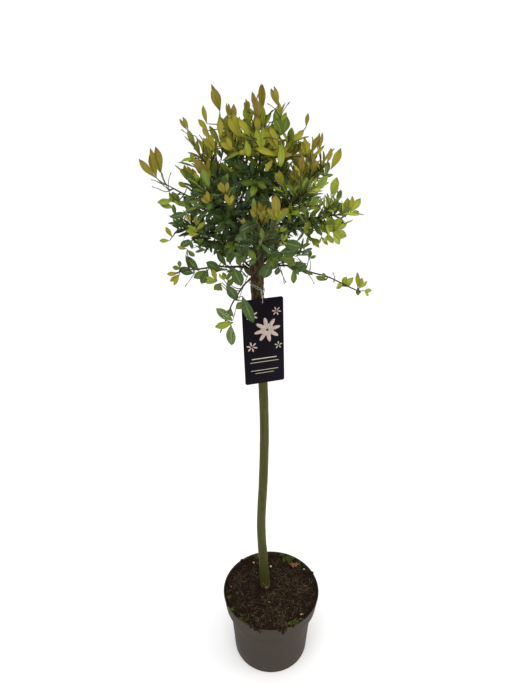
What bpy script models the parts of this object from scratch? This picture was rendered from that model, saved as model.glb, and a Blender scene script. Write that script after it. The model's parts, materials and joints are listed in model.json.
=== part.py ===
"""A grafted standard willow in its nursery pot, with the hang label on its stem.

Metres, +Z up. The origin is the middle of the pot's flat underside, and the plant's front is -Y.
The trunk rises from the compost to a graft head. Boughs leave the head and the limbs above it, and
each ends where it enters the mass of leafy twigs that it carries. Every mass keeps to the space
round its own stem, so no two masses meet.
"""

import math
import random
from collections import namedtuple

import bmesh
import bpy
from mathutils import Euler, Matrix, Vector
from mathutils.kdtree import KDTree

# ---------------------------------------------------------------- driving dimensions

CLEARANCE = 0.0003          # gap between two solids that rest on each other
UP = Vector((0, 0, 1))

# The nursery pot
POT_HEIGHT = 0.1540
POT_RIM_RADIUS = 0.0950
POT_COLLAR_HEIGHT = 0.0380
POT_COLLAR_FOOT_RADIUS = 0.0905
POT_STEP_DROP = 0.0025      # the collar's underside slopes in over this height
POT_BODY_TOP_RADIUS = 0.0818
POT_BASE_RADIUS = 0.0743
POT_BASE_ROUND = 0.0015
POT_WALL = 0.0016
POT_SEGMENTS = 32
DRAIN_HOLE_COUNT = 8
DRAIN_HOLE_RADIUS = 0.0055
DRAIN_CIRCLE_RADIUS = 0.0590

# The compost
SOIL_TOP = 0.1510
SOIL_EDGE_TOP = 0.1495
SOIL_FLAT_RADIUS = 0.0700

# The trunk: height, sideways place, depth and radius at each station, from the foot to the fork
TRUNK_FOOT = SOIL_TOP + CLEARANCE
TRUNK_STATIONS = (
    (TRUNK_FOOT, -0.0115, 0.0020, 0.0115),
    (TRUNK_FOOT + 0.004, -0.0115, 0.0020, 0.0103),
    (TRUNK_FOOT + 0.016, -0.0117, 0.0020, 0.0095),
    (0.2300, -0.0155, 0.0020, 0.0089),
    (0.3200, -0.0196, 0.0020, 0.0082),
    (0.4300, -0.0157, 0.0020, 0.0080),
    (0.5300, -0.0140, 0.0020, 0.0078),
    (0.6300, -0.0165, 0.0020, 0.0077),
    (0.6900, -0.0200, 0.0020, 0.0084),
    (0.7200, -0.0220, 0.0020, 0.0104),
    (0.7700, -0.0246, 0.0020, 0.0099),
    (0.8200, -0.0250, 0.0020, 0.0096),
    (0.8550, -0.0228, 0.0020, 0.0078),
    (0.8740, -0.0212, 0.0020, 0.0064),
)
TRUNK_RINGS = 30
TRUNK_ROUNDNESS = 3         # bevel resolution: 10 sides
CROWN_AXIS = Vector((-0.0240, 0.0020, 0.0))

# Boughs
BOUGH_POINTS = 5
BOUGH_ROUNDNESS = 1         # bevel resolution: 6 sides
SHOOT_TIP_RADIUS = 0.0009
STRAIGHT_END = 0.0020       # a bough's last length and its mass's first lie in one line
BOUGH_SHARE = 0.24          # the bough's share of its shoot's whole line
BOUGH_PAST_FORK = 0.07      # a bough that forks runs this much further than its last fork

# A shoot is a bough with the mass of foliage that it carries. Its line is a bend from its root
# on the parent to its tip. "at" is a height on the trunk, or a share of the parent shoot's line.
# bearing is in degrees from +X, counter-clockwise seen from above.
Shoot = namedtuple("Shoot", "name parent at bearing reach height lift root_radius")
SHOOTS = (
    Shoot("top_centre", "trunk", 0.8720, 350, 0.012, 1.028, 0.090, 0.0050),
    Shoot("top_left", "top_centre", 0.15, 190, 0.050, 1.028, 0.060, 0.0026),
    Shoot("top_right", "top_centre", 0.27, 6, 0.056, 1.004, 0.045, 0.0024),
    Shoot("top_back", "top_centre", 0.10, 95, 0.056, 1.012, 0.060, 0.0026),
    Shoot("top_front", "top_centre", 0.36, 272, 0.056, 1.002, 0.040, 0.0022),
    Shoot("upper_right", "trunk", 0.8520, 358, 0.088, 0.966, 0.056, 0.0036),
    Shoot("upper_left", "trunk", 0.8470, 180, 0.082, 0.984, 0.064, 0.0036),
    Shoot("back_right", "trunk", 0.8470, 46, 0.098, 0.945, 0.056, 0.0032),
    Shoot("back_left", "trunk", 0.8580, 134, 0.098, 0.948, 0.050, 0.0030),
    Shoot("front_left", "trunk", 0.8430, 226, 0.094, 0.940, 0.056, 0.0030),
    Shoot("front_right", "trunk", 0.8480, 315, 0.094, 0.945, 0.056, 0.0032),
    Shoot("left_high", "upper_left", 0.16, 187, 0.126, 0.943, 0.036, 0.0022),
    Shoot("right", "upper_right", 0.15, 353, 0.118, 0.902, 0.024, 0.0022),
    Shoot("left", "trunk", 0.8320, 174, 0.118, 0.876, 0.034, 0.0028),
    Shoot("back", "trunk", 0.8350, 92, 0.108, 0.885, 0.034, 0.0030),
    Shoot("front", "trunk", 0.8300, 274, 0.106, 0.890, 0.034, 0.0028),
    Shoot("low_left", "trunk", 0.8160, 191, 0.122, 0.820, 0.018, 0.0024),
    Shoot("low_right", "trunk", 0.8240, 356, 0.138, 0.800, 0.012, 0.0020),
    Shoot("hanging_left", "trunk", 0.8080, 222, 0.074, 0.738, 0.010, 0.0019),
    Shoot("low_front_right", "trunk", 0.8160, 306, 0.084, 0.852, 0.018, 0.0022),
    Shoot("low_back_left", "trunk", 0.8120, 136, 0.092, 0.850, 0.018, 0.0022),
    Shoot("low_back_right", "trunk", 0.8170, 56, 0.088, 0.852, 0.018, 0.0022),
)
SHOOT_BEND = 0.36           # where along its reach a shoot's line bends

# Foliage
MASS_RADIUS = 0.062         # how far a mass spreads from its shoot's line
SPACE_MARGIN = 0.0020       # a mass's leaves are this much nearer to its stem than to another's
STEM_SAMPLES = 30
LIMB_MARGIN = 0.0022        # leaves and twigs pass limbs at least this far off
LEAF_LENGTH = 0.0390
LEAF_WIDTH = 0.0160
LEAF_THICKNESS = 0.0010
LEAF_SPACING = 0.0100       # least distance between the middles of two leaves of one mass
LEAF_SINK = 0.0006          # a leaf's root lies this far behind its twig's axis
LEAF_ROLL = 1.25
LEAF_RISE = 0.30            # leaves turn up towards the light
LEAF_TRIES = 6
STEM_RINGS = 3
TWIG_RADIUS = 0.0011
TWIG_TIP_RADIUS = 0.0007
TWIG_TRIES = 6
LEAST_LEAVES_PER_TWIG = 3
TWIG_LENGTH = 0.0400
FIRST_TWIG_LEAN = -0.70     # the innermost twigs lean back and fill the crown's middle
LAST_TWIG_LEAN = 0.95
TWIG_GAP = 0.0115           # between side twigs along a stem
FIRST_TWIG = 0.0060
LEAF_GAP = 0.0140           # between pairs of leaves along a twig
STEM_LEAF_GAP = 0.0180      # between pairs of leaves on the stem itself
TURN_PER_TWIG = math.radians(137.5)
SEED = 7

# The hang label and the tie that holds it
LABEL_WIDTH = 0.0640
LABEL_HEIGHT = 0.1430
LABEL_THICKNESS = 0.0008
LABEL_CORNER_RADIUS = 0.0035
LABEL_CENTRE = Vector((-0.0153, -0.0136, 0.7075))
LABEL_TURN = Euler((0.0, math.radians(-1.8), math.radians(14.3)))
LABEL_HOLE_RADIUS = 0.0025
LABEL_HOLE_DROP = 0.0065    # from the label's top edge to the hole's middle
ARC_STEPS = 3
TIE_RADIUS = 0.0006
TIE_HEIGHT = 0.7900
TIE_TILT = 0.0060           # the tie's left side lies this far above its middle
TIE_TURNS = 2
TIE_PITCH = 0.0026
TIE_STEPS_PER_TURN = 12

# Colours: linear red, green, blue
POT_GREY = (0.095, 0.085, 0.070)
SOIL_BROWN = (0.020, 0.012, 0.008)
STEM_GREEN = (0.085, 0.100, 0.022)
BARK_BROWN = (0.070, 0.040, 0.022)
LEAF_GREEN = (0.070, 0.145, 0.025)
YOUNG_LEAF_OLIVE = (0.220, 0.200, 0.030)
LABEL_BLACK = (0.010, 0.008, 0.014)
TIE_WHITE = (0.550, 0.540, 0.500)


# ---------------------------------------------------------------- scene and materials

def clear_scene():
    for old in list(bpy.data.objects):
        bpy.data.objects.remove(old)


def new_collection(name, parent=None):
    collection = bpy.data.collections.new(name)
    (parent or bpy.context.scene.collection).children.link(collection)
    return collection


def material(name, colour, roughness):
    made = bpy.data.materials.new(name)
    made.use_nodes = True
    shader = made.node_tree.nodes["Principled BSDF"]
    shader.inputs["Base Color"].default_value = (*colour, 1.0)
    shader.inputs["Roughness"].default_value = roughness
    shader.inputs["Metallic"].default_value = 0.0
    return made


def add_object(name, data, collection, finish=None):
    made = bpy.data.objects.new(name, data)
    collection.objects.link(made)
    if finish:
        data.materials.append(finish)
    return made


# ---------------------------------------------------------------- lines, tubes and turned shapes

def spline_through(stations, count):
    """count rows spread along a smooth line through the stations (Catmull-Rom)."""
    spans = len(stations) - 1
    rows = []
    for step in range(count):
        place = spans * step / (count - 1)
        span = min(int(place), spans - 1)
        t = place - span
        ends = [stations[min(max(span + k, 0), spans)] for k in (-1, 0, 1, 2)]
        rows.append([
            0.5 * (2 * b + (c - a) * t + (2 * a - 5 * b + 4 * c - d) * t * t
                   + (3 * b - a - 3 * c + d) * t ** 3)
            for a, b, c, d in zip(*ends)
        ])
    return rows


def tube(name, points, radii, collection, finish=None, roundness=2, cyclic=False):
    """A curve object: a tube of these radii, with 4 sides and 2 more for each step of roundness."""
    curve = bpy.data.curves.new(name, "CURVE")
    curve.dimensions = "3D"
    curve.twist_mode = "MINIMUM"
    curve.bevel_depth = 1.0
    curve.bevel_resolution = roundness
    curve.use_fill_caps = not cyclic
    spline = curve.splines.new("POLY")
    spline.use_cyclic_u = cyclic
    spline.points.add(len(points) - 1)
    for place, point, radius in zip(spline.points, points, radii):
        place.co = (*point, 1.0)
        place.radius = radius
    return add_object(name, curve, collection, finish)


def as_mesh(curve_object, smooth=True):
    """The curve object made a mesh with its caps welded on, under the same name."""
    name = curve_object.name
    collection = curve_object.users_collection[0]
    matrix = curve_object.matrix_world.copy()
    graph = bpy.context.evaluated_depsgraph_get()
    mesh = bpy.data.meshes.new_from_object(curve_object.evaluated_get(graph))
    bpy.data.objects.remove(curve_object)
    work = bmesh.new()
    work.from_mesh(mesh)
    bmesh.ops.remove_doubles(work, verts=work.verts, dist=1e-6)
    work.to_mesh(mesh)
    work.free()
    made = bpy.data.objects.new(name, mesh)
    mesh.name = name
    made.matrix_world = matrix
    collection.objects.link(made)
    if smooth:
        smooth_sides(mesh)
    return made


def smooth_sides(mesh):
    mesh.shade_smooth()
    mesh.set_sharp_from_angle(angle=math.radians(50))


def turned(name, profile, collection, finish):
    """The profile, (radius, height) points down the outer side, turned once round Z."""
    mesh = bpy.data.meshes.new(name)
    work = bmesh.new()
    corners = [work.verts.new((radius, 0, height)) for radius, height in profile]
    for upper, lower in zip(corners, corners[1:]):
        work.edges.new((upper, lower))
    work.to_mesh(mesh)
    work.free()
    made = add_object(name, mesh, collection, finish)
    screw = made.modifiers.new("turn", "SCREW")
    screw.axis = "Z"
    screw.steps = POT_SEGMENTS
    screw.render_steps = POT_SEGMENTS
    screw.use_merge_vertices = True
    screw.merge_threshold = 0.00001
    screw.use_smooth_shade = True
    return made


def boolean(target, operation, operand, solver="EXACT"):
    """A Boolean of one object, or of a whole collection, on the target."""
    modifier = target.modifiers.new(operation.lower(), "BOOLEAN")
    modifier.operation = operation
    modifier.solver = solver
    if isinstance(operand, bpy.types.Collection):
        modifier.operand_type = "COLLECTION"
        modifier.collection = operand
    else:
        modifier.object = operand
    return modifier


def apply_modifiers(target):
    graph = bpy.context.evaluated_depsgraph_get()
    mesh = bpy.data.meshes.new_from_object(target.evaluated_get(graph))
    target.modifiers.clear()
    target.data = mesh


def keep_largest_body(mesh):
    """Drops loose scraps and the walls of any hollow that fusing has sealed."""
    work = bmesh.new()
    work.from_mesh(mesh)
    unseen = set(work.faces)
    bodies = []
    while unseen:
        body, front = set(), [unseen.pop()]
        while front:
            face = front.pop()
            body.add(face)
            for edge in face.edges:
                for beside in edge.link_faces:
                    if beside in unseen:
                        unseen.discard(beside)
                        front.append(beside)
        bodies.append(body)
    bodies.sort(key=len)
    for body in bodies[:-1]:
        bmesh.ops.delete(work, geom=list(body), context="FACES")
    work.to_mesh(mesh)
    work.free()


def remove_with_objects(collection):
    for member in list(collection.objects):
        bpy.data.objects.remove(member)
    bpy.data.collections.remove(collection)


# ---------------------------------------------------------------- pot and compost

def wall_outline(inset):
    """The pot's side, rim to base, moved in by inset from its outer face."""
    collar_foot = POT_HEIGHT - POT_COLLAR_HEIGHT + inset
    return [
        (POT_RIM_RADIUS - inset, POT_HEIGHT),
        (POT_COLLAR_FOOT_RADIUS - inset, collar_foot),
        (POT_BODY_TOP_RADIUS - inset, collar_foot - POT_STEP_DROP),
        (POT_BASE_RADIUS - inset, inset),
    ]


def make_pot(collection, cutters, finish):
    outer = wall_outline(0.0)
    inner = wall_outline(POT_WALL)
    foot_radius = POT_BASE_RADIUS
    profile = (
        [(0.0, POT_WALL)]
        + inner[::-1]
        + outer[:-1]
        + [(foot_radius, POT_BASE_ROUND), (foot_radius - POT_BASE_ROUND, 0.0), (0.0, 0.0)]
    )
    pot = turned("pot", profile, collection, finish)
    for number in range(DRAIN_HOLE_COUNT):
        angle = 2 * math.pi * (number + 0.5) / DRAIN_HOLE_COUNT
        mesh = bpy.data.meshes.new(f"drain_{number}")
        work = bmesh.new()
        bmesh.ops.create_cone(
            work, cap_ends=True, segments=8,
            radius1=DRAIN_HOLE_RADIUS, radius2=DRAIN_HOLE_RADIUS, depth=4 * POT_WALL,
        )
        work.to_mesh(mesh)
        work.free()
        drain = add_object(f"drain_cutter_{number}", mesh, cutters)
        drain.location = (
            DRAIN_CIRCLE_RADIUS * math.cos(angle), DRAIN_CIRCLE_RADIUS * math.sin(angle), 0.0
        )
        drain.hide_render = True
        drain.display_type = "WIRE"
    boolean(pot, "DIFFERENCE", cutters)
    return pot


def make_soil(collection, finish):
    wall = wall_outline(POT_WALL + CLEARANCE)
    rim, collar_foot = wall[0], wall[1]
    share = (rim[1] - SOIL_EDGE_TOP) / (rim[1] - collar_foot[1])
    edge_radius = rim[0] + (collar_foot[0] - rim[0]) * share
    profile = (
        [(0.0, SOIL_TOP), (SOIL_FLAT_RADIUS, SOIL_TOP), (edge_radius, SOIL_EDGE_TOP)]
        + wall[1:]
        + [(0.0, wall[-1][1])]
    )
    return turned("soil", profile, collection, finish)


# ---------------------------------------------------------------- trunk and boughs

def trunk_line():
    """Points and radii up the trunk. The foot's first length stands upright, for a level cut."""
    rows = [TRUNK_STATIONS[0]] + spline_through(TRUNK_STATIONS[1:], TRUNK_RINGS)
    return [Vector((x, y, z)) for z, x, y, _ in rows], [radius for *_, radius in rows]


def point_at_height(points, height):
    for lower, upper in zip(points, points[1:]):
        if lower.z <= height <= upper.z:
            return lower.lerp(upper, (height - lower.z) / (upper.z - lower.z))
    return points[-1].copy()


class Line:
    """The bent line that a shoot follows, from its root on the parent's own line to its tip."""

    def __init__(self, shoot, root):
        angle = math.radians(shoot.bearing)
        self.shoot = shoot
        self.root = root
        self.tip = CROWN_AXIS + Vector((math.cos(angle), math.sin(angle), 0)) * shoot.reach
        self.tip.z = shoot.height
        sideways = self.tip - root
        sideways.z = 0
        self.knee = root + sideways * SHOOT_BEND + UP * shoot.lift
        self.entry = BOUGH_SHARE

    def at(self, t):
        return self.root * (1 - t) ** 2 + self.knee * (2 * t * (1 - t)) + self.tip * t ** 2

    def heading(self, t):
        along = (self.knee - self.root) * (1 - t) + (self.tip - self.knee) * t
        return along.normalized()

    def radius(self, t):
        return self.shoot.root_radius * (1 - t) + SHOOT_TIP_RADIUS * t

    def length(self):
        points = [self.at(step / 20) for step in range(21)]
        return sum((b - a).length for a, b in zip(points, points[1:]))

    def bough(self):
        """Points and radii of the bare limb, from the parent's axis to the mass."""
        shares = [self.entry * step / (BOUGH_POINTS - 1) for step in range(BOUGH_POINTS)]
        points, radii = [self.at(t) for t in shares], [self.radius(t) for t in shares]
        points.insert(-1, points[-1] - self.heading(self.entry) * STRAIGHT_END)
        radii.insert(-1, radii[-1])
        return points, radii

    def stem(self):
        """Points and radii of the leafy rest of the line, a hair beyond the bough's end."""
        shares = [self.entry + (1 - self.entry) * step / STEM_RINGS for step in range(STEM_RINGS + 1)]
        points, radii = [self.at(t) for t in shares], [self.radius(t) for t in shares]
        heading = self.heading(self.entry)
        points[0] = points[0] + heading * CLEARANCE
        points.insert(1, points[0] + heading * STRAIGHT_END)
        radii.insert(1, radii[0])
        return points, radii


def lay_out_shoots(trunk_points):
    """A Line for each shoot, with the share of it at which its bough ends."""
    lines = {}
    for shoot in SHOOTS:
        if shoot.parent == "trunk":
            root = point_at_height(trunk_points, shoot.at)
        else:
            root = lines[shoot.parent].at(shoot.at)
        lines[shoot.name] = Line(shoot, root)
    for line in lines.values():
        forks = [other.shoot.at for other in lines.values() if other.shoot.parent == line.shoot.name]
        line.entry = max([BOUGH_SHARE] + [fork + BOUGH_PAST_FORK for fork in forks])
    return lines


def make_limb(name, points, radii, collection, finish, roundness):
    limb = as_mesh(tube(name, points, radii, collection, finish, roundness))
    return limb


def make_boughs(lines, trunk, collection, cutters, finish):
    """Each bough starts on its parent's axis and is cut to the parent's surface, a hair off it."""
    trunk_points, trunk_radii = trunk
    parents = {"trunk": (trunk_points, trunk_radii)}
    for name, line in lines.items():
        parents[name] = line.bough()
    cutter_of = {}
    for name in {line.shoot.parent for line in lines.values()}:
        points, radii = parents[name]
        swollen = [radius + CLEARANCE for radius in radii]
        roundness = TRUNK_ROUNDNESS if name == "trunk" else BOUGH_ROUNDNESS
        points = list(points)
        points[-1] = points[-1] + (points[-1] - points[-2]).normalized() * CLEARANCE
        cutter = as_mesh(tube(f"{name}_cutter", points, swollen, cutters, roundness=roundness))
        cutter.hide_render = True
        cutter.display_type = "WIRE"
        cutter_of[name] = cutter
    boughs = {}
    for name, line in lines.items():
        points, radii = parents[name]
        bough = make_limb(f"bough_{name}", points, radii, collection, finish, BOUGH_ROUNDNESS)
        boolean(bough, "DIFFERENCE", cutter_of[line.shoot.parent])
        boughs[name] = bough
    return boughs


# ---------------------------------------------------------------- foliage

def stem_tree(lines):
    """A search tree of points close together along the leafy stems of these lines."""
    points = [
        line.at(line.entry + (1 - line.entry) * step / STEM_SAMPLES)
        for line in lines for step in range(STEM_SAMPLES + 1)
    ]
    tree = KDTree(len(points))
    for number, point in enumerate(points):
        tree.insert(point, number)
    tree.balance()
    return tree


class Space:
    """The room of one mass: all that lies nearer to its stem than to another's, off the limbs."""

    def __init__(self, line, lines, limbs):
        self.own = stem_tree([line])
        self.others = stem_tree([other for other in lines.values() if other is not line])
        self.limbs = limbs

    def holds(self, points, margin=0.0):
        for point in points:
            near = self.own.find(point)[2]
            if near > MASS_RADIUS or self.others.find(point)[2] < near + SPACE_MARGIN + margin:
                return False
        return True

    def clear_of_limbs(self, points):
        for start, end, radius in self.limbs:
            along = end - start
            squared = along.length_squared
            for p in points:
                t = min(max((p - start).dot(along) / squared, 0.0), 1.0)
                if (start + along * t - p).length < radius + LIMB_MARGIN:
                    return False
        return True


Twig = namedtuple("Twig", "start end root_radius tip_radius")
Leaf = namedtuple("Leaf", "root along side length width")


def side_of(along, turn):
    """A direction square to along, turned round it by this angle."""
    reference = UP if abs(along.z) < 0.9 else Vector((1, 0, 0))
    across = along.cross(reference).normalized()
    return Matrix.Rotation(turn, 3, along) @ across


def leaf_points(leaf):
    """The four corners of a leaf's outline: root, widest places and tip."""
    half = leaf.side * (leaf.width / 2)
    ahead = leaf.along * leaf.length
    middle = leaf.root + ahead * 0.55
    return [leaf.root, middle + half, leaf.root + ahead, middle - half]


def leaf_samples(leaf):
    """Points all over a leaf but its root, close enough together to find any limb near it."""
    half = leaf.side * (leaf.width / 2)
    return [
        leaf.root + leaf.along * (leaf.length * ahead) + half * across
        for ahead in (0.16, 0.30, 0.44, 0.58, 0.72, 0.86, 1.0)
        for across in (-0.8, 0.0, 0.8)
    ]


def new_leaf(base, along, size, rng):
    """A leaf on a twig's axis, its blade turned any way up to LEAF_ROLL from facing the sky."""
    along = along.normalized()
    blade_side = side_of(along, rng.uniform(-LEAF_ROLL, LEAF_ROLL))
    return Leaf(base - along * LEAF_SINK, along, blade_side, LEAF_LENGTH * size, LEAF_WIDTH * size)


class Foliage:
    """The twigs and leaves of one mass. What would leave the mass's space is skipped."""

    def __init__(self, line, space):
        self.line = line
        self.space = space
        self.rng = random.Random(f"{SEED} {line.shoot.name}")
        self.twigs = []
        self.leaves = []

    def leaf_fits(self, leaf):
        middle = leaf.root + leaf.along * (leaf.length / 2)
        for other in self.leaves:
            if (other.root + other.along * (other.length / 2) - middle).length < LEAF_SPACING:
                return False
        samples = leaf_samples(leaf)
        return self.space.holds(samples) and self.space.clear_of_limbs(samples)

    def add_leaf(self, base, heading, turn, spread):
        """Sets one leaf, after a few tries at other turns and lesser sizes where it doesn't fit."""
        size = self.rng.uniform(0.85, 1.0)
        for attempt in range(LEAF_TRIES):
            side = side_of(heading, turn + self.rng.uniform(-0.35, 0.35) * attempt)
            along = heading + side * (spread * self.rng.uniform(0.7, 1.3)) + UP * LEAF_RISE
            leaf = new_leaf(base, along, size, self.rng)
            if self.leaf_fits(leaf):
                self.leaves.append(leaf)
                return
            size *= 0.94

    def add_leaves(self, start, end, first, last):
        """Pairs of leaves up a twig, each pair square to the last, and some at its tip."""
        heading = (end - start).normalized()
        length = (end - start).length
        turn = self.rng.uniform(0, math.pi)
        place = first
        while place < length - 0.4 * LEAF_GAP:
            for half_turn in (0, math.pi):
                self.add_leaf(start + heading * place, heading, turn + half_turn, 0.95)
            turn += math.pi / 2
            place += LEAF_GAP
        for number in range(last):
            self.add_leaf(end - heading * 0.001, heading, turn + 2 * math.pi * number / last, 0.3)

    def add_twig(self, place, span, turn):
        line, rng = self.line, self.rng
        t = line.entry + (1 - line.entry) * place / span
        base, heading = line.at(t), line.heading(t)
        lean = FIRST_TWIG_LEAN + (LAST_TWIG_LEAN - FIRST_TWIG_LEAN) * place / span
        length = TWIG_LENGTH * (1 - 0.45 * place / span) * rng.uniform(0.8, 1.15)
        for attempt in range(TWIG_TRIES):
            side = side_of(heading, turn + rng.uniform(-0.3, 0.3) * attempt)
            along = (heading * lean + side * 0.9 + UP * 0.2).normalized()
            tip = base + along * length
            if twig_fits(self.space, base, tip):
                before = len(self.leaves)
                self.add_leaves(base, tip, first=0.65 * LEAF_GAP, last=2)
                if len(self.leaves) >= before + LEAST_LEAVES_PER_TWIG:
                    self.twigs.append(Twig(base, tip, TWIG_RADIUS, TWIG_TIP_RADIUS))
                    return
                del self.leaves[before:]
            length *= 0.92

    def grow(self):
        """Leaves at the stem's end, then twigs along it, then leaves on the bare lengths left."""
        line = self.line
        span = line.length() * (1 - line.entry)
        end = line.at(1.0)
        before = end - line.heading(1.0) * (1.5 * LEAF_GAP)
        self.add_leaves(before, end, first=0.3 * LEAF_GAP, last=3)
        place, turn = FIRST_TWIG, self.rng.uniform(0, 2 * math.pi)
        while place < span - 0.8 * TWIG_GAP:
            self.add_twig(place, span, turn)
            turn += TURN_PER_TWIG
            place += TWIG_GAP
        place = FIRST_TWIG + TWIG_GAP / 2
        while place < span - TWIG_GAP:
            t = line.entry + (1 - line.entry) * place / span
            for half_turn in (0, math.pi):
                self.add_leaf(line.at(t), line.heading(t), turn + half_turn, 1.1)
            turn += TURN_PER_TWIG
            place += STEM_LEAF_GAP


def twig_fits(space, base, tip):
    """Whether a twig stays in the space and passes the limbs, beyond the stem it leaves."""
    if not space.holds([tip], TWIG_RADIUS):
        return False
    return space.clear_of_limbs([base.lerp(tip, share) for share in (0.35, 0.5, 0.65, 0.8, 1.0)])


def twig_object(twig, name, collection):
    """A twig as a three-sided tapering rod."""
    run = twig.end - twig.start
    mesh = bpy.data.meshes.new(name)
    work = bmesh.new()
    place = Matrix.Translation((twig.start + twig.end) / 2)
    bmesh.ops.create_cone(
        work, cap_ends=True, segments=3, radius1=twig.root_radius, radius2=twig.tip_radius,
        depth=run.length, matrix=place @ run.to_track_quat("Z", "Y").to_matrix().to_4x4(),
    )
    work.to_mesh(mesh)
    work.free()
    return add_object(name, mesh, collection)


def leaf_object(leaf, name, collection):
    """A leaf as a closed solid: its flat outline and a rib raised on both faces."""
    normal = leaf.along.cross(leaf.side).normalized()
    rib = leaf.root + leaf.along * (leaf.length * 0.55)
    half = normal * (LEAF_THICKNESS / 2)
    mesh = bpy.data.meshes.new(name)
    work = bmesh.new()
    for point in (*leaf_points(leaf), rib + half, rib - half):
        work.verts.new(point)
    bmesh.ops.convex_hull(work, input=work.verts)
    work.to_mesh(mesh)
    work.free()
    return add_object(name, mesh, collection)


def make_mass(line, space, collection, finish):
    """One mass of foliage as one closed body: its stem, with twigs and leaves fused on."""
    foliage = Foliage(line, space)
    foliage.grow()
    stem = as_mesh(tube(
        f"foliage_{line.shoot.name}", *line.stem(), collection, finish, roundness=0
    ), smooth=False)
    fused = new_collection(f"fused_{line.shoot.name}")
    for number, twig in enumerate(foliage.twigs):
        twig_object(twig, f"twig_{number}", fused)
    for number, leaf in enumerate(foliage.leaves):
        leaf_object(leaf, f"leaf_{number}", fused)
    boolean(stem, "UNION", fused, solver="MANIFOLD")
    apply_modifiers(stem)
    keep_largest_body(stem.data)
    remove_with_objects(fused)
    return len(foliage.leaves)


def make_foliage(lines, limbs, collection, finish):
    """All the masses, one for each shoot."""
    leaf_count = 0
    for line in lines.values():
        space = Space(line, lines, limbs)
        leaf_count += make_mass(line, space, collection, finish)
    print("leaves:", leaf_count)


# ---------------------------------------------------------------- label and tie

def arc(centre, radius, start, end, steps):
    angles = [start + (end - start) * step / steps for step in range(steps + 1)]
    return [(centre[0] + radius * math.cos(a), centre[1] + radius * math.sin(a)) for a in angles]


def make_label(collection, finish):
    """A thin card with round corners and a punched hole, hanging in front of the trunk."""
    half_width = LABEL_WIDTH / 2 - LABEL_CORNER_RADIUS
    half_height = LABEL_HEIGHT / 2 - LABEL_CORNER_RADIUS
    corners = ((1, 1), (-1, 1), (-1, -1), (1, -1))
    outline = []
    for quarter, (right, upper) in enumerate(corners):
        start = quarter * math.pi / 2
        outline += arc((right * half_width, upper * half_height), LABEL_CORNER_RADIUS,
                       start, start + math.pi / 2, ARC_STEPS)
    hole_centre = (0.0, LABEL_HEIGHT / 2 - LABEL_HOLE_DROP)
    hole = arc(hole_centre, LABEL_HOLE_RADIUS, 0, 2 * math.pi, 3 * ARC_STEPS)[:-1]
    curve = bpy.data.curves.new("label", "CURVE")
    curve.dimensions = "2D"
    curve.fill_mode = "BOTH"
    curve.extrude = LABEL_THICKNESS / 2
    for loop in (outline, hole):
        spline = curve.splines.new("POLY")
        spline.use_cyclic_u = True
        spline.points.add(len(loop) - 1)
        for place, (x, y) in zip(spline.points, loop):
            place.co = (x, y, 0, 1)
    label = add_object("label", curve, collection, finish)
    upright = Matrix.Rotation(math.radians(90), 4, "X")
    label.matrix_world = Matrix.LocRotScale(LABEL_CENTRE, LABEL_TURN, None) @ upright
    return as_mesh(label, smooth=False)


def label_point(across, up, out):
    """A point given on the label: across and up from its middle, and out from its face."""
    return LABEL_CENTRE + LABEL_TURN.to_matrix() @ Vector((across, -out, up))


def tie_points(trunk_points):
    """The elastic tie: up from the label's hole, twice round the trunk, and back to the hole."""
    axis = point_at_height(trunk_points, TIE_HEIGHT)
    around = TRUNK_STATIONS[-4][3] + TIE_RADIUS + CLEARANCE
    hole_height = LABEL_HEIGHT / 2 - LABEL_HOLE_DROP
    over_edge = LABEL_HEIGHT / 2 + 3 * TIE_RADIUS
    reach = LABEL_THICKNESS / 2 + TIE_RADIUS + 2 * CLEARANCE
    steps = TIE_TURNS * TIE_STEPS_PER_TURN
    start_angle = math.radians(-62)
    points = [label_point(0.0, hole_height, -reach), label_point(0.0, over_edge, -reach)]
    for step in range(steps + 1):
        angle = start_angle + 2 * math.pi * TIE_TURNS * step / steps
        rise = TIE_PITCH * step / TIE_STEPS_PER_TURN - TIE_TILT * math.cos(angle)
        points.append(axis + Vector((around * math.cos(angle), around * math.sin(angle), rise)))
    points += [label_point(0.0, over_edge, reach), label_point(0.0, hole_height, reach)]
    return points


def make_tie(trunk_points, collection, finish):
    points = tie_points(trunk_points)
    radii = [TIE_RADIUS] * len(points)
    return tube("label_tie", points, radii, collection, finish, roundness=0, cyclic=True), points


# ---------------------------------------------------------------- the whole plant

def segments_of(points, radii):
    """(start, end, radius) of each length of a limb, for keeping leaves off it."""
    return [
        (points[k], points[k + 1], max(radii[k], radii[k + 1])) for k in range(len(points) - 1)
    ]


def label_segments():
    """The label's two sides and middle as fat lines, so that leaves keep clear of the card."""
    half = LABEL_WIDTH / 2
    return [
        (label_point(across, -LABEL_HEIGHT / 2, 0), label_point(across, LABEL_HEIGHT / 2, 0), 0.006)
        for across in (-half, -half / 2, 0, half / 2, half)
    ]


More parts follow.
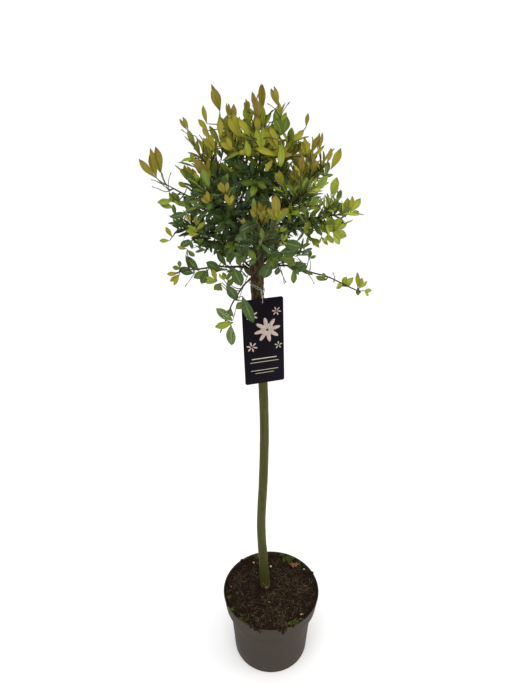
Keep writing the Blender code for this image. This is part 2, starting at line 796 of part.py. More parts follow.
def main():
    clear_scene()
    plant = new_collection("standard_willow")
    drain_cutters = new_collection("drain_cutters")
    limb_cutters = new_collection("limb_cutters")

    make_pot(plant, drain_cutters, material("pot_plastic", POT_GREY, 0.55))
    make_soil(plant, material("compost", SOIL_BROWN, 0.95))

    trunk_points, trunk_radii = trunk_line()
    trunk = make_limb("trunk", trunk_points, trunk_radii, plant,
                      material("stem_bark", STEM_GREEN, 0.6), TRUNK_ROUNDNESS)
    lines = lay_out_shoots(trunk_points)
    make_boughs(lines, (trunk_points, trunk_radii), plant, limb_cutters,
                material("bough_bark", BARK_BROWN, 0.75))

    make_label(plant, material("label_card", LABEL_BLACK, 0.35))
    _, tie = make_tie(trunk_points, plant, material("label_tie", TIE_WHITE, 0.6))

    limbs = segments_of(trunk_points, trunk_radii) + label_segments()
    limbs += segments_of(tie, [TIE_RADIUS] * len(tie))
    for line in lines.values():
        limbs += segments_of(*line.bough())
    make_foliage(lines, limbs, plant, material("leaves", LEAF_GREEN, 0.5))


main()
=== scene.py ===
"""The looks of a grafted standard willow in its nursery pot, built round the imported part.

Metres, +Z up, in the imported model's own frame: the origin is the middle of the pot's underside
and the plant's front is -Y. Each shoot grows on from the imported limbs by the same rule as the
solids, with finer twigs and leaves. Leaves are modelled once for each shape and copied.
"""

import json
import math
import random
from collections import namedtuple
from itertools import product

import bmesh
import bpy
import numpy as np
from mathutils import Euler, Matrix, Vector
from mathutils.bvhtree import BVHTree
from mathutils.kdtree import KDTree

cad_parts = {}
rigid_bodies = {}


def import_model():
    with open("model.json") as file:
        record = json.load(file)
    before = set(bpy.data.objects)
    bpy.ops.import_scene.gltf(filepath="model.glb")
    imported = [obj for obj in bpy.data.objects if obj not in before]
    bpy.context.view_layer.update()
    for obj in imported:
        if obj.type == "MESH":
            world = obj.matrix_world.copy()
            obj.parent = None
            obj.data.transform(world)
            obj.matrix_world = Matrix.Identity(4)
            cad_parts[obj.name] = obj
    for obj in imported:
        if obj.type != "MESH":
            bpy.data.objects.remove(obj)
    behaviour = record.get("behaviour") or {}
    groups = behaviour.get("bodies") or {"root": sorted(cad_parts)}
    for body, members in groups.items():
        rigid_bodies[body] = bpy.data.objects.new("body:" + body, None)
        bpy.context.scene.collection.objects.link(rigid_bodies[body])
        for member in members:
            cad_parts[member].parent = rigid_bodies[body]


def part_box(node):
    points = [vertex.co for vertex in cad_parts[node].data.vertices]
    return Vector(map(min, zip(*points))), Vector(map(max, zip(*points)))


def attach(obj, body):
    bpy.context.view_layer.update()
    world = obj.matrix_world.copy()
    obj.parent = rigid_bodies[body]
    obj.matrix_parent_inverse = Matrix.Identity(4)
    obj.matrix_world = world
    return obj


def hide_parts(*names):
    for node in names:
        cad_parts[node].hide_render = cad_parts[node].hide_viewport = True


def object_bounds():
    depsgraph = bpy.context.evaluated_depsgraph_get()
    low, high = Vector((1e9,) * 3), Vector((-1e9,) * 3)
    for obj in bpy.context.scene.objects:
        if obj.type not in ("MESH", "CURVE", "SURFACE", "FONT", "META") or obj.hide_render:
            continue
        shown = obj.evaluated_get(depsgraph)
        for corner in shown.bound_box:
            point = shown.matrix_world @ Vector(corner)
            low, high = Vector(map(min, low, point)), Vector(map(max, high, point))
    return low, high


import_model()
cad_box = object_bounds()

UP = Vector((0, 0, 1))
MM = 0.001
FULL_TURN = 2 * math.pi
ROOT = "root"

# -------------------- sizes, as the solids have them

POT_FLOOR, POT_TOP = (corner.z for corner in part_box("pot"))
POT_RIM_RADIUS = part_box("pot")[1].x
POT_COLLAR_HEIGHT = 0.0380
POT_COLLAR_FOOT_RADIUS = 0.0905
POT_STEP_DROP = 0.0025
POT_BODY_TOP_RADIUS = 0.0818
POT_BASE_RADIUS = 0.0743
POT_WALL = 0.0016
POT_SIDES = 96
DRAIN_HOLE_COUNT = 8
DRAIN_HOLE_RADIUS = 0.0055
DRAIN_CIRCLE_RADIUS = 0.0590

SOIL_FOOT, SOIL_TOP = (corner.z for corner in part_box("soil"))
SOIL_EDGE_TOP = 0.1500
SOIL_GAP = 0.0004           # between the compost and the pot's inner wall

TRUNK_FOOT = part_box("trunk")[0].z
TRUNK_STATIONS = (          # height, sideways place, depth, radius
    (TRUNK_FOOT, -0.0115, 0.0020, 0.0115),
    (TRUNK_FOOT + 0.004, -0.0115, 0.0020, 0.0103),
    (TRUNK_FOOT + 0.016, -0.0117, 0.0020, 0.0095),
    (0.2300, -0.0155, 0.0020, 0.0089),
    (0.3200, -0.0196, 0.0020, 0.0082),
    (0.4300, -0.0157, 0.0020, 0.0080),
    (0.5300, -0.0140, 0.0020, 0.0078),
    (0.6300, -0.0165, 0.0020, 0.0077),
    (0.6900, -0.0200, 0.0020, 0.0084),
    (0.7200, -0.0220, 0.0020, 0.0104),
    (0.7700, -0.0246, 0.0020, 0.0099),
    (0.8200, -0.0250, 0.0020, 0.0096),
    (0.8550, -0.0228, 0.0020, 0.0078),
    (0.8740, -0.0212, 0.0020, 0.0064),
)
STEM_FOOT = Vector((*TRUNK_STATIONS[0][1:3], 0))
TRUNK_RINGS = 190
TRUNK_SIDES = 28
HEAD_FOOT = 0.700           # rough grafted wood starts here
COLLAR_TOP = 0.1790         # up to here the stem's foot is brown and corky
DARK_STEM = (0.330, 0.170)  # heights between which the green stem darkens downwards
GREEN_WOOD = (0.900, 0.990)  # heights between which brown wood turns green
CROWN_AXIS = Vector((-0.0240, 0.0020, 0.0))
CROWN_MIDDLE = Vector((-0.0250, 0.0020, 0.9000))
CROWN_LEAN = -0.06          # the crown leans to its left as it rises
CROWN_HALF_WIDTH = 0.1350   # the crown's leafy outline, measured from its middle
CROWN_HALF_DEPTH = 0.1200
CROWN_RISE = 0.1290
CROWN_DROP = 0.0840
OUTLINE_POWER = 1.6         # 2 would be an egg; less is straighter-sided
OUTLINE_FUZZ = 0.12
# The leaves' tints paint shade up to this height and light above it, besides their own colours
SHADE_HEIGHT = 0.850        # leaves are dark up to here, and brightest this much higher
SUN_DEPTH = 0.145
SUN_FOOT = 0.900            # leaves point more steeply up above this height

Shoot = namedtuple("Shoot", "name parent at bearing reach height lift root_radius")
SHOOTS = [Shoot(*row) for row in (
    ("top_centre", "trunk", 0.8720, 350, 0.012, 1.028, 0.090, 0.0050),
    ("top_left", "top_centre", 0.15, 190, 0.050, 1.028, 0.060, 0.0026),
    ("top_right", "top_centre", 0.27, 6, 0.056, 1.004, 0.045, 0.0024),
    ("top_back", "top_centre", 0.10, 95, 0.056, 1.012, 0.060, 0.0026),
    ("top_front", "top_centre", 0.36, 272, 0.056, 1.002, 0.040, 0.0022),
    ("upper_right", "trunk", 0.8520, 358, 0.088, 0.966, 0.056, 0.0036),
    ("upper_left", "trunk", 0.8470, 180, 0.082, 0.984, 0.064, 0.0036),
    ("back_right", "trunk", 0.8470, 46, 0.098, 0.945, 0.056, 0.0032),
    ("back_left", "trunk", 0.8580, 134, 0.098, 0.948, 0.050, 0.0030),
    ("front_left", "trunk", 0.8430, 226, 0.094, 0.940, 0.056, 0.0030),
    ("front_right", "trunk", 0.8480, 315, 0.094, 0.945, 0.056, 0.0032),
    ("left_high", "upper_left", 0.16, 187, 0.126, 0.943, 0.036, 0.0022),
    ("right", "upper_right", 0.15, 353, 0.118, 0.902, 0.024, 0.0022),
    ("left", "trunk", 0.8320, 174, 0.118, 0.876, 0.034, 0.0028),
    ("back", "trunk", 0.8350, 92, 0.108, 0.885, 0.034, 0.0030),
    ("front", "trunk", 0.8300, 274, 0.106, 0.890, 0.034, 0.0028),
    ("low_left", "trunk", 0.8160, 191, 0.122, 0.820, 0.018, 0.0024),
    ("low_right", "trunk", 0.8240, 356, 0.138, 0.800, 0.012, 0.0020),
    ("hanging_left", "trunk", 0.8080, 222, 0.074, 0.738, 0.010, 0.0019),
    ("low_front_right", "trunk", 0.8160, 306, 0.084, 0.852, 0.018, 0.0022),
    ("low_back_left", "trunk", 0.8120, 136, 0.092, 0.850, 0.018, 0.0022),
    ("low_back_right", "trunk", 0.8170, 56, 0.088, 0.852, 0.018, 0.0022),
)]
SHOOT_BEND = 0.36
SHOOT_TIP_RADIUS = 0.0009
BOUGH_SHARE = 0.24
BOUGH_PAST_FORK = 0.07
MASS_RADIUS = 0.062

# Finer growth than the solids have
STEM_POINTS = 26
STEM_WANDER = 0.0012        # how far a stem strays from its even bend
TWIG_LENGTH = 0.0400
TWIG_SHORTENING = 0.42      # how much of it the twigs at a shoot's tip lack
TWIG_TRIES = 5
FIRST_TWIG = 0.0040
TWIG_GAP = 0.0053
FIRST_TWIG_LEAN = -0.70
LAST_TWIG_LEAN = 0.95
TWIG_RADIUS = 0.0010
TWIG_TIP_RADIUS = 0.0005
LONG_TWIG = 0.026           # from this length on, a share of the twigs fork once more
SIDE_TWIG_SHARE = 0.45
SIDE_TWIG_LENGTHS = (0.012, 0.020)
LEAF_LENGTH = 0.0310
LEAF_WIDTH = 0.0090
LEAF_GAP = 0.0062
LEAF_SPACING = 0.0041       # least distance between the middles of two leaves
LEAF_CLEARANCE = 0.0012
LEAF_TRIES = 5
LEAF_SHRINKING = 0.93       # by which a leaf is smaller at each further try
LEAF_RISE = 0.22            # how far leaves turn up towards the light
SUN_RISE = 2.2              # and how much more for each metre above SUN_FOOT
TURN_PER_TWIG = math.radians(137.5)
NEIGHBOUR_REACH = 0.008     # how far a shoot's leaves may mix with the next one's
# Shoots below the crown's outline, wiry and thinly leaved: how many of their twigs grow
THIN_SHOOTS = {"left_high": 0.30, "low_left": 0.0, "low_right": 0.0, "hanging_left": 0.05,
               "low_front_right": 0.35, "low_back_left": 0.5, "low_back_right": 0.5}
# Shoots with their twigs closer together
CLOSE_SHOOTS = {"left": 0.52, "front_left": 0.70, "front": 0.85, "right": 0.75,
                "front_right": 0.80}
LOW_SPRAYS_TOP = 0.8700     # up to this height the thin shoots may grow past the outline
# How far the tip of a long shoot sags past the solids' line
TIP_SAG = {"low_right": Vector((0.0140, -0.0060, -0.0120))}
# The bare trunk shows through a gap in the leaves in front of it
GAP_HALF_WIDTH = 0.0170
GAP_TOP = 0.8420
GAP_SLOPE = 0.31
SEED = 11

LABEL_WIDTH = 0.0640
LABEL_HEIGHT = 0.1430
LABEL_THICKNESS = 0.0008
LABEL_CORNER_RADIUS = 0.0035
LABEL_CENTRE = Vector((-0.0153, -0.0136, 0.7075))
LABEL_TURN = Euler((0.0, math.radians(-1.8), math.radians(14.3)))
LABEL_HOLE_RADIUS = 0.0025
LABEL_HOLE_HEIGHT = LABEL_HEIGHT / 2 - 0.0065
TIE_RADIUS = 0.0006
TIE_HEIGHT = 0.7900
TIE_TILT = 0.0060
TIE_START = math.radians(-62)
TIE_TURNS = 2
TIE_PITCH = 0.0026
TIE_CLEARANCE = 0.0003
TIE_SLACK = 0.0006
KNOT_SIZE = 0.00055
KNOT_STRAND_RADIUS = 0.00034
STRAND_RADIUS = 0.00023     # of each of the tie's two twisted strands
STRAND_OFFSET = 0.00030
STRAND_PITCH = 0.0060
STRAND_STEP = 0.0006

# -------------------- placed tufts

# A tuft of leaves on a wiry stalk, standing clear of the crown. Millimetres: where its leaves leave
# the stalk, and where the middle one points to. width is a share of a common leaf's, and fan is how
# far the other leaves spread.
Tuft = namedtuple("Tuft", "x y z tip_x tip_z tint width leaves fan", defaults=(1, 0))
TUFTS = [Tuft(*row) for row in (
    # standing on top
    (-72, -5, 1033, -81, 1063, "bronze", 0.85, 3, 0.14),
    (-89, -5, 1017, -93, 1039, "olive", 0.75),
    (-115, 0, 1009, -124, 1025, "bronze", 0.7, 2, 0.12),
    (-88, -10, 1009, -100, 1023, "olive", 0.8),
    (-61, 10, 1023, -63, 1042, "bronze", 0.6, 2, 0.06),
    (-36, 10, 1030, -39, 1047, "bronze", 0.5, 3, 0.22),
    (-34, 10, 1016, -39, 1040, "lime", 0.7, 4, 0.3),
    (-18, 0, 1032, -18, 1066, "bronze", 0.8, 2, 0.03),
    (3, 0, 1038, -5, 1061, "bronze", 0.75, 2, 0.1), (9, -25, 1006, -1, 1025, "green", 1.3),
    (9, -25, 1006, 14, 1026, "green", 1.3), (40, 0, 1013, 42, 1030, "bronze", 0.6),
    (23, -10, 996, 37, 1010, "olive", 1.0), (40, -10, 980, 38, 1001, "olive", 0.7, 3, 0.26),
    (57, 0, 984, 60, 1007, "bronze", 0.7, 2, 0.08), (50, -5, 975, 65, 991, "olive", 0.5),
    (-69, -45, 1003, -69, 1028, "olive", 0.9), (-45, -50, 1005, -57, 1031, "olive", 1.1, 2, 0.14),
    (-23, -50, 1008, -24, 1029, "bronze", 1.0), (-18, -60, 991, -21, 1018, "lime", 1.0, 2, 0.16),
    (1, -60, 991, -11, 1017, "olive", 1.0, 2, 0.1), (-37, -70, 1004, -34, 984, "lime", 1.1),
    (5, -70, 1001, 5, 973, "lime", 0.95), (0, -68, 985, -27, 995, "olive", 0.8),
    (-55, -60, 991, -66, 1005, "olive", 0.9, 2, 0.3),
    (-78, -40, 989, -89, 1007, "olive", 0.9, 2, 0.2),
    # left side
    (-162, 0, 949, -177, 978, "bronze", 1.2, 2, 0.26),
    (-155, 0, 956, -163, 990, "bronze", 1.2, 2, 0.14), (-141, 0, 918, -163, 916, "lime", 1.3),
    (-140, 0, 908, -160, 914, "lime", 1.3), (-146, 0, 867, -154, 882, "olive", 0.9),
    (-150, 0, 862, -165, 861, "lime", 0.9), (-108, -15, 970, -111, 983, "olive", 0.6),
    (-94, -30, 953, -96, 978, "bronze", 0.65, 3, 0.16),
    (-102, -35, 951, -114, 970, "bronze", 0.6, 3, 0.24),
    (-118, -20, 939, -130, 946, "bronze", 0.55, 2, 0.1),
    (-88, -40, 947, -90, 967, "olive", 0.6, 2, 0.2),
    (-56, -65, 926, -59, 943, "olive", 0.6, 3, 0.32),
    (-105, -50, 895, -102, 909, "bronze", 0.6, 2, 0.16), (-105, -50, 889, -92, 901, "lime", 0.65),
    (-103, -50, 887, -120, 893, "lime", 0.6, 2, 0.3), (-102, -50, 884, -116, 884, "olive", 0.7),
    (-113, -50, 900, -117, 911, "olive", 0.6, 2, 0.2),
    (-136, 0, 915, -147, 928, "lime", 0.8, 3, 0.35),
    (-131, -10, 913, -135, 924, "lime", 0.7, 2, 0.3),
    (-109, -30, 922, -119, 930, "dark", 1.0, 3, 0.5),
    (-104, -35, 929, -109, 941, "dark", 0.9, 3, 0.6),
    (-119, -20, 914, -128, 926, "green", 1.0, 2, 0.4), (-130, -5, 912, -141, 932, "green", 0.9),
    (-111, -25, 909, -121, 917, "dark", 0.9, 3, 0.6), (-120, -15, 904, -145, 899, "dark", 0.8),
    (-127, -10, 891, -144, 886, "dark", 1.3), (-89, -45, 947, -86, 961, "dark", 0.8, 3, 0.6),
    (-95, -40, 922, -104, 914, "dark", 0.9, 3, 0.7), (-84, -74, 930, -86, 945, "bronze", 0.65),
    (-84, -74, 929, -94, 938, "bronze", 0.6, 2, 0.2), (-83, -73, 930, -79, 941, "bronze", 0.6),
    (-64, -78, 942, -72, 955, "bronze", 0.7, 2, 0.12), (-62, -77, 943, -60, 956, "bronze", 0.6),
    (-59, -80, 928, -63, 942, "bronze", 0.65), (-58, -80, 928, -54, 940, "olive", 0.6),
    # front
    (1, -95, 915, -2, 943, "bronze", 1.2), (1, -95, 914, -12, 929, "bronze", 0.75),
    (2, -95, 914, 15, 928, "bronze", 0.75), (1, -96, 914, -7, 923, "olive", 0.55, 2, 0.5),
    (1, -96, 914, 7, 925, "olive", 0.6), (-25, -95, 915, -28, 931, "bronze", 0.6, 3, 0.34),
    (-10, -92, 909, -17, 915, "bronze", 0.5, 2, 0.2),
    (-38, -90, 909, -44, 913, "bronze", 0.5, 2, 0.3), (0, -60, 849, -22, 829, "dark", 1.3),
    (0, -92, 898, -7, 905, "lime", 0.7), (2, -94, 898, -1, 908, "olive", 0.6),
    (4, -94, 898, 12, 905, "lime", 0.65, 2, 0.25), (8, -92, 885, 12, 897, "lime", 0.6, 2, 0.3),
    (8, -92, 885, 4, 880, "lime", 0.6), (8, -92, 885, 14, 882, "lime", 0.6),
    (3, -90, 897, -11, 884, "dark", 1.15), (9, -86, 883, 33, 876, "dark", 1.25),
    (5, -84, 869, 30, 871, "dark", 1.35), (5, -84, 867, -12, 847, "dark", 1.55),
    (-7, -80, 853, -15, 830, "dark", 1.5), (4, -80, 861, 25, 858, "green", 1.0),
    (8, -78, 862, 27, 850, "green", 0.9), (-25, -80, 858, -36, 870, "green", 1.1),
    (-25, -80, 858, -35, 852, "dark", 1.0), (-24, -90, 908, -47, 897, "dark", 1.15),
    (-23, -90, 905, -11, 893, "dark", 1.1), (-39, -84, 892, -53, 884, "dark", 1.1),
    (-44, -70, 860, -54, 870, "dark", 1.0, 2, 0.4),
    # right side
    (75, 0, 960, 87, 987, "olive", 1.2), (68, 0, 950, 63, 972, "green", 0.9, 2, 0.34),
    (77, 0, 926, 84, 949, "fresh", 1.1), (83, 0, 904, 83, 922, "lime", 0.9),
    (99, 0, 896, 90, 915, "fresh", 1.3), (99, 0, 896, 101, 921, "fresh", 1.2),
    (105, 0, 902, 107, 925, "olive", 0.9), (107, 0, 903, 119, 921, "fresh", 0.9),
    (105, 0, 899, 118, 903, "fresh", 0.8), (82, -15, 879, 61, 887, "fresh", 1.4),
    (80, -15, 879, 73, 899, "fresh", 1.2), (83, -15, 880, 96, 898, "fresh", 1.2, 2, 0.3),
    (80, -15, 879, 98, 864, "fresh", 1.5, 2, 0.35),
    (74, -15, 876, 76, 859, "fresh", 1.3, 2, 0.45), (86, -15, 878, 98, 878, "fresh", 1.1),
    (67, 0, 868, 69, 852, "lime", 0.9, 2, 0.6), (50, 0, 836, 58, 845, "green", 0.8, 2, 0.5),
    (37, -20, 878, 30, 893, "green", 0.8), (40, -20, 879, 48, 895, "fresh", 0.8),
    (39, -20, 878, 47, 880, "fresh", 1.0), (51, -15, 869, 64, 864, "olive", 0.9),
    (45, -15, 872, 53, 884, "dark", 0.8),
    # the long wiry shoot low on the right
    (27, -8, 823, 29, 799, "green", 0.9), (19, -8, 826, 48, 824, "dark", 1.5),
    (6, -8, 826, 3, 811, "dark", 1.0), (75, -8, 805, 60, 812, "green", 0.7),
    (74, -8, 806, 70, 818, "green", 0.6), (100, -8, 796, 90, 797, "fresh", 1.1, 2, 0.4),
    (100, -8, 796, 115, 810, "fresh", 1.0, 3, 0.5), (123, -8, 794, 121, 817, "olive", 0.7),
    (125, -8, 793, 134, 807, "fresh", 0.8, 2, 0.3), (123, -8, 794, 124, 782, "green", 0.7),
    (133, -8, 789, 144, 785, "fresh", 0.9, 2, 0.6),
    # the spray low on the left
    (-117, -12, 817, -139, 823, "dark", 1.15), (-139, -12, 817, -156, 816, "olive", 1.0),
    (-137, -12, 816, -150, 801, "olive", 1.0, 2, 0.2), (-135, -12, 824, -147, 827, "green", 0.8),
    (-136, -12, 825, -137, 835, "green", 0.6), (-109, -15, 822, -127, 842, "dark", 1.25),
    (-95, -15, 823, -117, 810, "green", 1.1), (-96, -15, 822, -106, 802, "dark", 1.1),
    (-77, -15, 823, -98, 835, "dark", 1.2), (-77, -15, 822, -92, 825, "green", 1.0),
    (-69, -18, 831, -82, 849, "dark", 0.8), (-75, -18, 836, -77, 846, "dark", 0.7),
    (-83, -28, 811, -88, 829, "olive", 0.9), (-83, -28, 811, -98, 818, "lime", 0.7),
    (-82, -28, 810, -100, 809, "lime", 0.6), (-72, -30, 813, -75, 826, "fresh", 0.8, 2, 0.3),
    (-67, -30, 813, -68, 829, "green", 0.9, 2, 0.35), (-75, -30, 809, -87, 798, "green", 0.8),
    (-77, -30, 807, -79, 795, "green", 0.8, 2, 0.2), (-69, -32, 803, -59, 815, "green", 1.0),
    (-58, -45, 836, -46, 809, "dark", 1.5), (-67, -45, 812, -53, 787, "dark", 1.35),
    (-123, -15, 853, -114, 842, "green", 0.9), (-124, -15, 854, -138, 857, "olive", 0.8),
    (-116, -20, 866, -133, 860, "dark", 0.9), (-116, -20, 866, -117, 855, "dark", 0.8),
    (-111, -20, 867, -99, 866, "green", 0.8), (-63, -35, 869, -61, 849, "dark", 0.9, 2, 0.2),
    (-58, -35, 870, -49, 857, "dark", 0.9), (-56, -25, 850, -69, 837, "dark", 1.0),
    (-54, -25, 848, -43, 835, "green", 1.0, 2, 0.4),
    # hanging by the label
    (-45, -55, 798, -31, 758, "dark", 1.4), (-40, -50, 790, -55, 777, "green", 1.0),
    (-60, -50, 759, -82, 777, "variegated", 1.2), (-59, -50, 756, -86, 748, "lime", 1.4),
    (-62, -50, 752, -64, 717, "variegated", 1.4), (-59, -50, 768, -67, 776, "dark", 0.9),
)]
# Bare wiry stalks: depth, then the places they pass, sideways and height, all in mm
WIRES = (
    (0, ((9, 1005), (6, 1022), (11, 1034), (18, 1043))),
    (0, ((6, 1020), (-1, 1034), (-11, 1041))),
    (0, ((-16, 1014), (-12, 1025), (-4, 1033))),
    (0, ((-104, 1000), (-114, 1003), (-124, 1010))),
    (0, ((-142, 925), (-149, 939), (-154, 956))),
    (0, ((-146, 933), (-158, 944), (-162, 949))),
    (0, ((-150, 930), (-160, 934), (-169, 937))),
    (0, ((-156, 941), (-164, 945), (-169, 946))),
    (0, ((-146, 934), (-145, 946), (-141, 956))),
    (-8, ((50, 814), (55, 807), (59, 799))),
    (-8, ((87, 802), (88, 810), (85, 817))),
    (-8, ((8, 826), (12, 814), (15, 799))),
    (0, ((30, 861), (42, 850), (49, 839), (53, 828), (52, 815))),
    (-20, ((-114, 822), (-120, 812), (-130, 799))),
    (-40, ((4, 838), (10, 825), (16, 812))),
    (-40, ((-34, 836), (-38, 822), (-47, 799), (-54, 778), (-60, 756))),
)
WIRE_RADIUS = 0.00075
TUFT_STALK_RADIUS = 0.00055

YOUNG_TINTS = ("bronze", "olive", "lime")
TINTS = (*YOUNG_TINTS, "fresh", "green", "dark", "variegated")
GROWN_SHAPES = ("adult", "adult", "bent")

# -------------------- directions and chance


def outward(angle, rise=0.0):
    """The direction at this angle round the plant, level or with some rise."""
    return Vector((math.cos(angle), math.sin(angle), rise))


def side_of(along, turn):
    """A direction square to along, turned round it by this angle."""
    reference = UP if abs(along.z) < 0.9 else Vector((1, 0, 0))
    return Matrix.Rotation(turn, 3, along) @ along.cross(reference).normalized()


def any_angle(rng):
    return rng.uniform(0, FULL_TURN)


def jitter(rng, most):
    """A random vector with each part at most this long."""
    return Vector([rng.uniform(-most, most) for _ in range(3)])


def shares(steps):
    """Evenly spaced shares of a length, from 0 to 1."""
    return [step / steps for step in range(steps + 1)]


def taper(count, first, last):
    return [first + (last - first) * share for share in shares(count - 1)]


def bend(start, knee, end, t):
    """The place at share t of the even bend from start to end that knee draws aside."""
    return start * (1 - t) ** 2 + knee * (2 * t * (1 - t)) + end * t ** 2


# -------------------- working with pieces


def deselect():
    bpy.ops.object.select_all(action="DESELECT")


def add_primitive(name, operator, **settings):
    """A primitive added on its own by this operator, named, its place moved into its mesh."""
    deselect()
    operator(**settings)
    piece = bpy.context.object
    piece.name = piece.data.name = name
    bpy.ops.object.transform_apply()
    return piece


def open_piece():
    bpy.ops.object.mode_set(mode="EDIT")
    bpy.ops.mesh.select_all(action="SELECT")


def open_primitive(name, operator, **settings):
    """A primitive open for editing, all of it selected."""
    piece = add_primitive(name, operator, **settings)
    open_piece()
    return piece


def pick(piece, wanted, kind="VERT"):
    """Selects the corners, edges or faces of the open piece for which wanted() holds."""
    bpy.ops.mesh.select_mode(type=kind)
    bpy.ops.mesh.select_all(action="DESELECT")
    work = bmesh.from_edit_mesh(piece.data)
    members = {"VERT": work.verts, "EDGE": work.edges, "FACE": work.faces}[kind]
    for member in members:
        if wanted(member):
            member.select_set(True)
    bmesh.update_edit_mesh(piece.data)


def close_piece(turn_outwards=False):
    if turn_outwards:
        bpy.ops.mesh.select_all(action="SELECT")
        bpy.ops.mesh.normals_make_consistent(inside=False)
    bpy.ops.object.mode_set(mode="OBJECT")


def make_active(piece):
    deselect()
    piece.select_set(True)
    bpy.context.view_layer.objects.active = piece


def apply_modifier(piece, kind, **settings):
    """One modifier put on the piece and applied at once."""
    make_active(piece)
    modifier = piece.modifiers.new(kind.lower(), kind)
    for key, value in settings.items():
        setattr(modifier, key, value)
    bpy.ops.object.modifier_apply(modifier=modifier.name)


def smooth(piece, angle):
    make_active(piece)
    bpy.ops.object.shade_smooth_by_angle(angle=math.radians(angle))


def cut_away(piece, cutter):
    apply_modifier(piece, "BOOLEAN", operation="DIFFERENCE", solver="EXACT", object=cutter)
    remove(cutter)


def remove(*pieces):
    for piece in pieces:
        bpy.data.objects.remove(piece)


def draw_on(rows):
    """Extrudes the selected face through (place, radius) rows; each place is a ring's middle."""
    for (place, radius), (next_place, next_radius) in zip(rows, rows[1:]):
        step = next_place - place
        bpy.ops.mesh.extrude_region_move(TRANSFORM_OT_translate={"value": step})
        ratio = next_radius / radius
        bpy.ops.transform.resize(value=(ratio, ratio, 1), center_override=next_place)


def turned_solid(name, rows, sides):
    """A closed turned solid, left open: a disc at the first row, drawn on through the rest."""
    rows = [(UP * height, radius) for radius, height in rows]
    piece = open_primitive(name, bpy.ops.mesh.primitive_circle_add, vertices=sides,
                           radius=rows[0][1], fill_type="NGON", location=rows[0][0])
    draw_on(rows)
    return piece


def clouds(size, depth=2):
    texture = bpy.data.textures.new("clouds", "CLOUDS")
    texture.noise_scale = size
    texture.noise_depth = depth
    return texture


def roughen(piece, size, strength, group="", depth=2, mid=0.5):
    """Raises and sinks the surface along its normals by clouds of this size."""
    apply_modifier(piece, "DISPLACE", texture=clouds(size, depth), strength=strength,
                   mid_level=mid, vertex_group=group)


def weigh(piece, name, weight):
    """A vertex group whose weights come from each corner's place."""
    group = piece.vertex_groups.new(name=name)
    for corner in piece.data.vertices:
        share = weight(corner.co)
        if share > 0:
            group.add([corner.index], min(share, 1.0), "REPLACE")


def link(name, data):
    """A new object with this data, in the scene."""
    made = bpy.data.objects.new(name, data)
    bpy.context.scene.collection.objects.link(made)
    return made


def tubes(name, lines, sides=6, cyclic=False):
    """One mesh of many tapering tubes; each line is (points, radii)."""
    curve = bpy.data.curves.new(name, "CURVE")
    curve.dimensions = "3D"
    curve.twist_mode = "MINIMUM"
    curve.bevel_depth = 1.0
    curve.bevel_resolution = sides // 2 - 2
    curve.use_fill_caps = not cyclic
    for points, radii in lines:
        spline = curve.splines.new("POLY")
        spline.use_cyclic_u = cyclic
        spline.points.add(len(points) - 1)
        for place, point, radius in zip(spline.points, points, radii):
            place.co = (*point, 1.0)
            place.radius = radius
    make_active(link(name, curve))
    bpy.ops.object.convert(target="MESH")
    open_piece()
    bpy.ops.mesh.remove_doubles(threshold=1e-6)
    close_piece(turn_outwards=True)
    piece = bpy.context.object
    smooth(piece, 60)
    return piece


def read(items, key, width, kind=np.float32):
    values = np.zeros(len(items) * width, kind)
    items.foreach_get(key, values)
    return values.reshape(-1, width) if width > 1 else values


def joined_copies(name, model, places):
    """One mesh that holds a copy of the model at each 4x4 place, UV map and all."""
    mesh = model.data
    places = np.array([[list(row) for row in place] for place in places], np.float32)
    count = len(places)
    points = read(mesh.vertices, "co", 3)
    moved = np.einsum("kij,nj->kni", places[:, :3, :3], points) + places[:, None, :3, 3]
    corners = read(mesh.loops, "vertex_index", 1, np.int32)
    starts = read(mesh.polygons, "loop_start", 1, np.int32)
    step = np.arange(count, dtype=np.int32)[:, None]
    made = bpy.data.meshes.new(name)
    made.vertices.add(count * len(points))
    made.vertices.foreach_set("co", moved.ravel())
    made.loops.add(count * len(corners))
    made.loops.foreach_set("vertex_index", (corners[None] + step * len(points)).ravel())
    made.polygons.add(count * len(starts))
    made.polygons.foreach_set("loop_start", (starts[None] + step * len(corners)).ravel())
    if mesh.uv_layers:
        layer = made.uv_layers.new(name="UVMap")
        layer.data.foreach_set("uv", np.tile(read(mesh.uv_layers[0].data, "uv", 2).ravel(), count))
    made.update(calc_edges=True)
    made.validate()
    made.shade_smooth()
    return link(name, made)


def join(name, *pieces):
    make_active(pieces[0])
    for piece in pieces:
        piece.select_set(True)
    bpy.ops.object.join()
    piece = bpy.context.object
    piece.name = piece.data.name = name
    return piece


def settle(piece, slot, finish, *nodes):
    """Gives a finished piece its material and its place under the root body, and hides the imported
    parts it stands for; slot is not used.
    """
    piece.data.materials.clear()
    piece.data.materials.append(finish)
    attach(piece, ROOT)
    if nodes:
        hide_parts(*nodes)
    return piece


# -------------------- shader effects


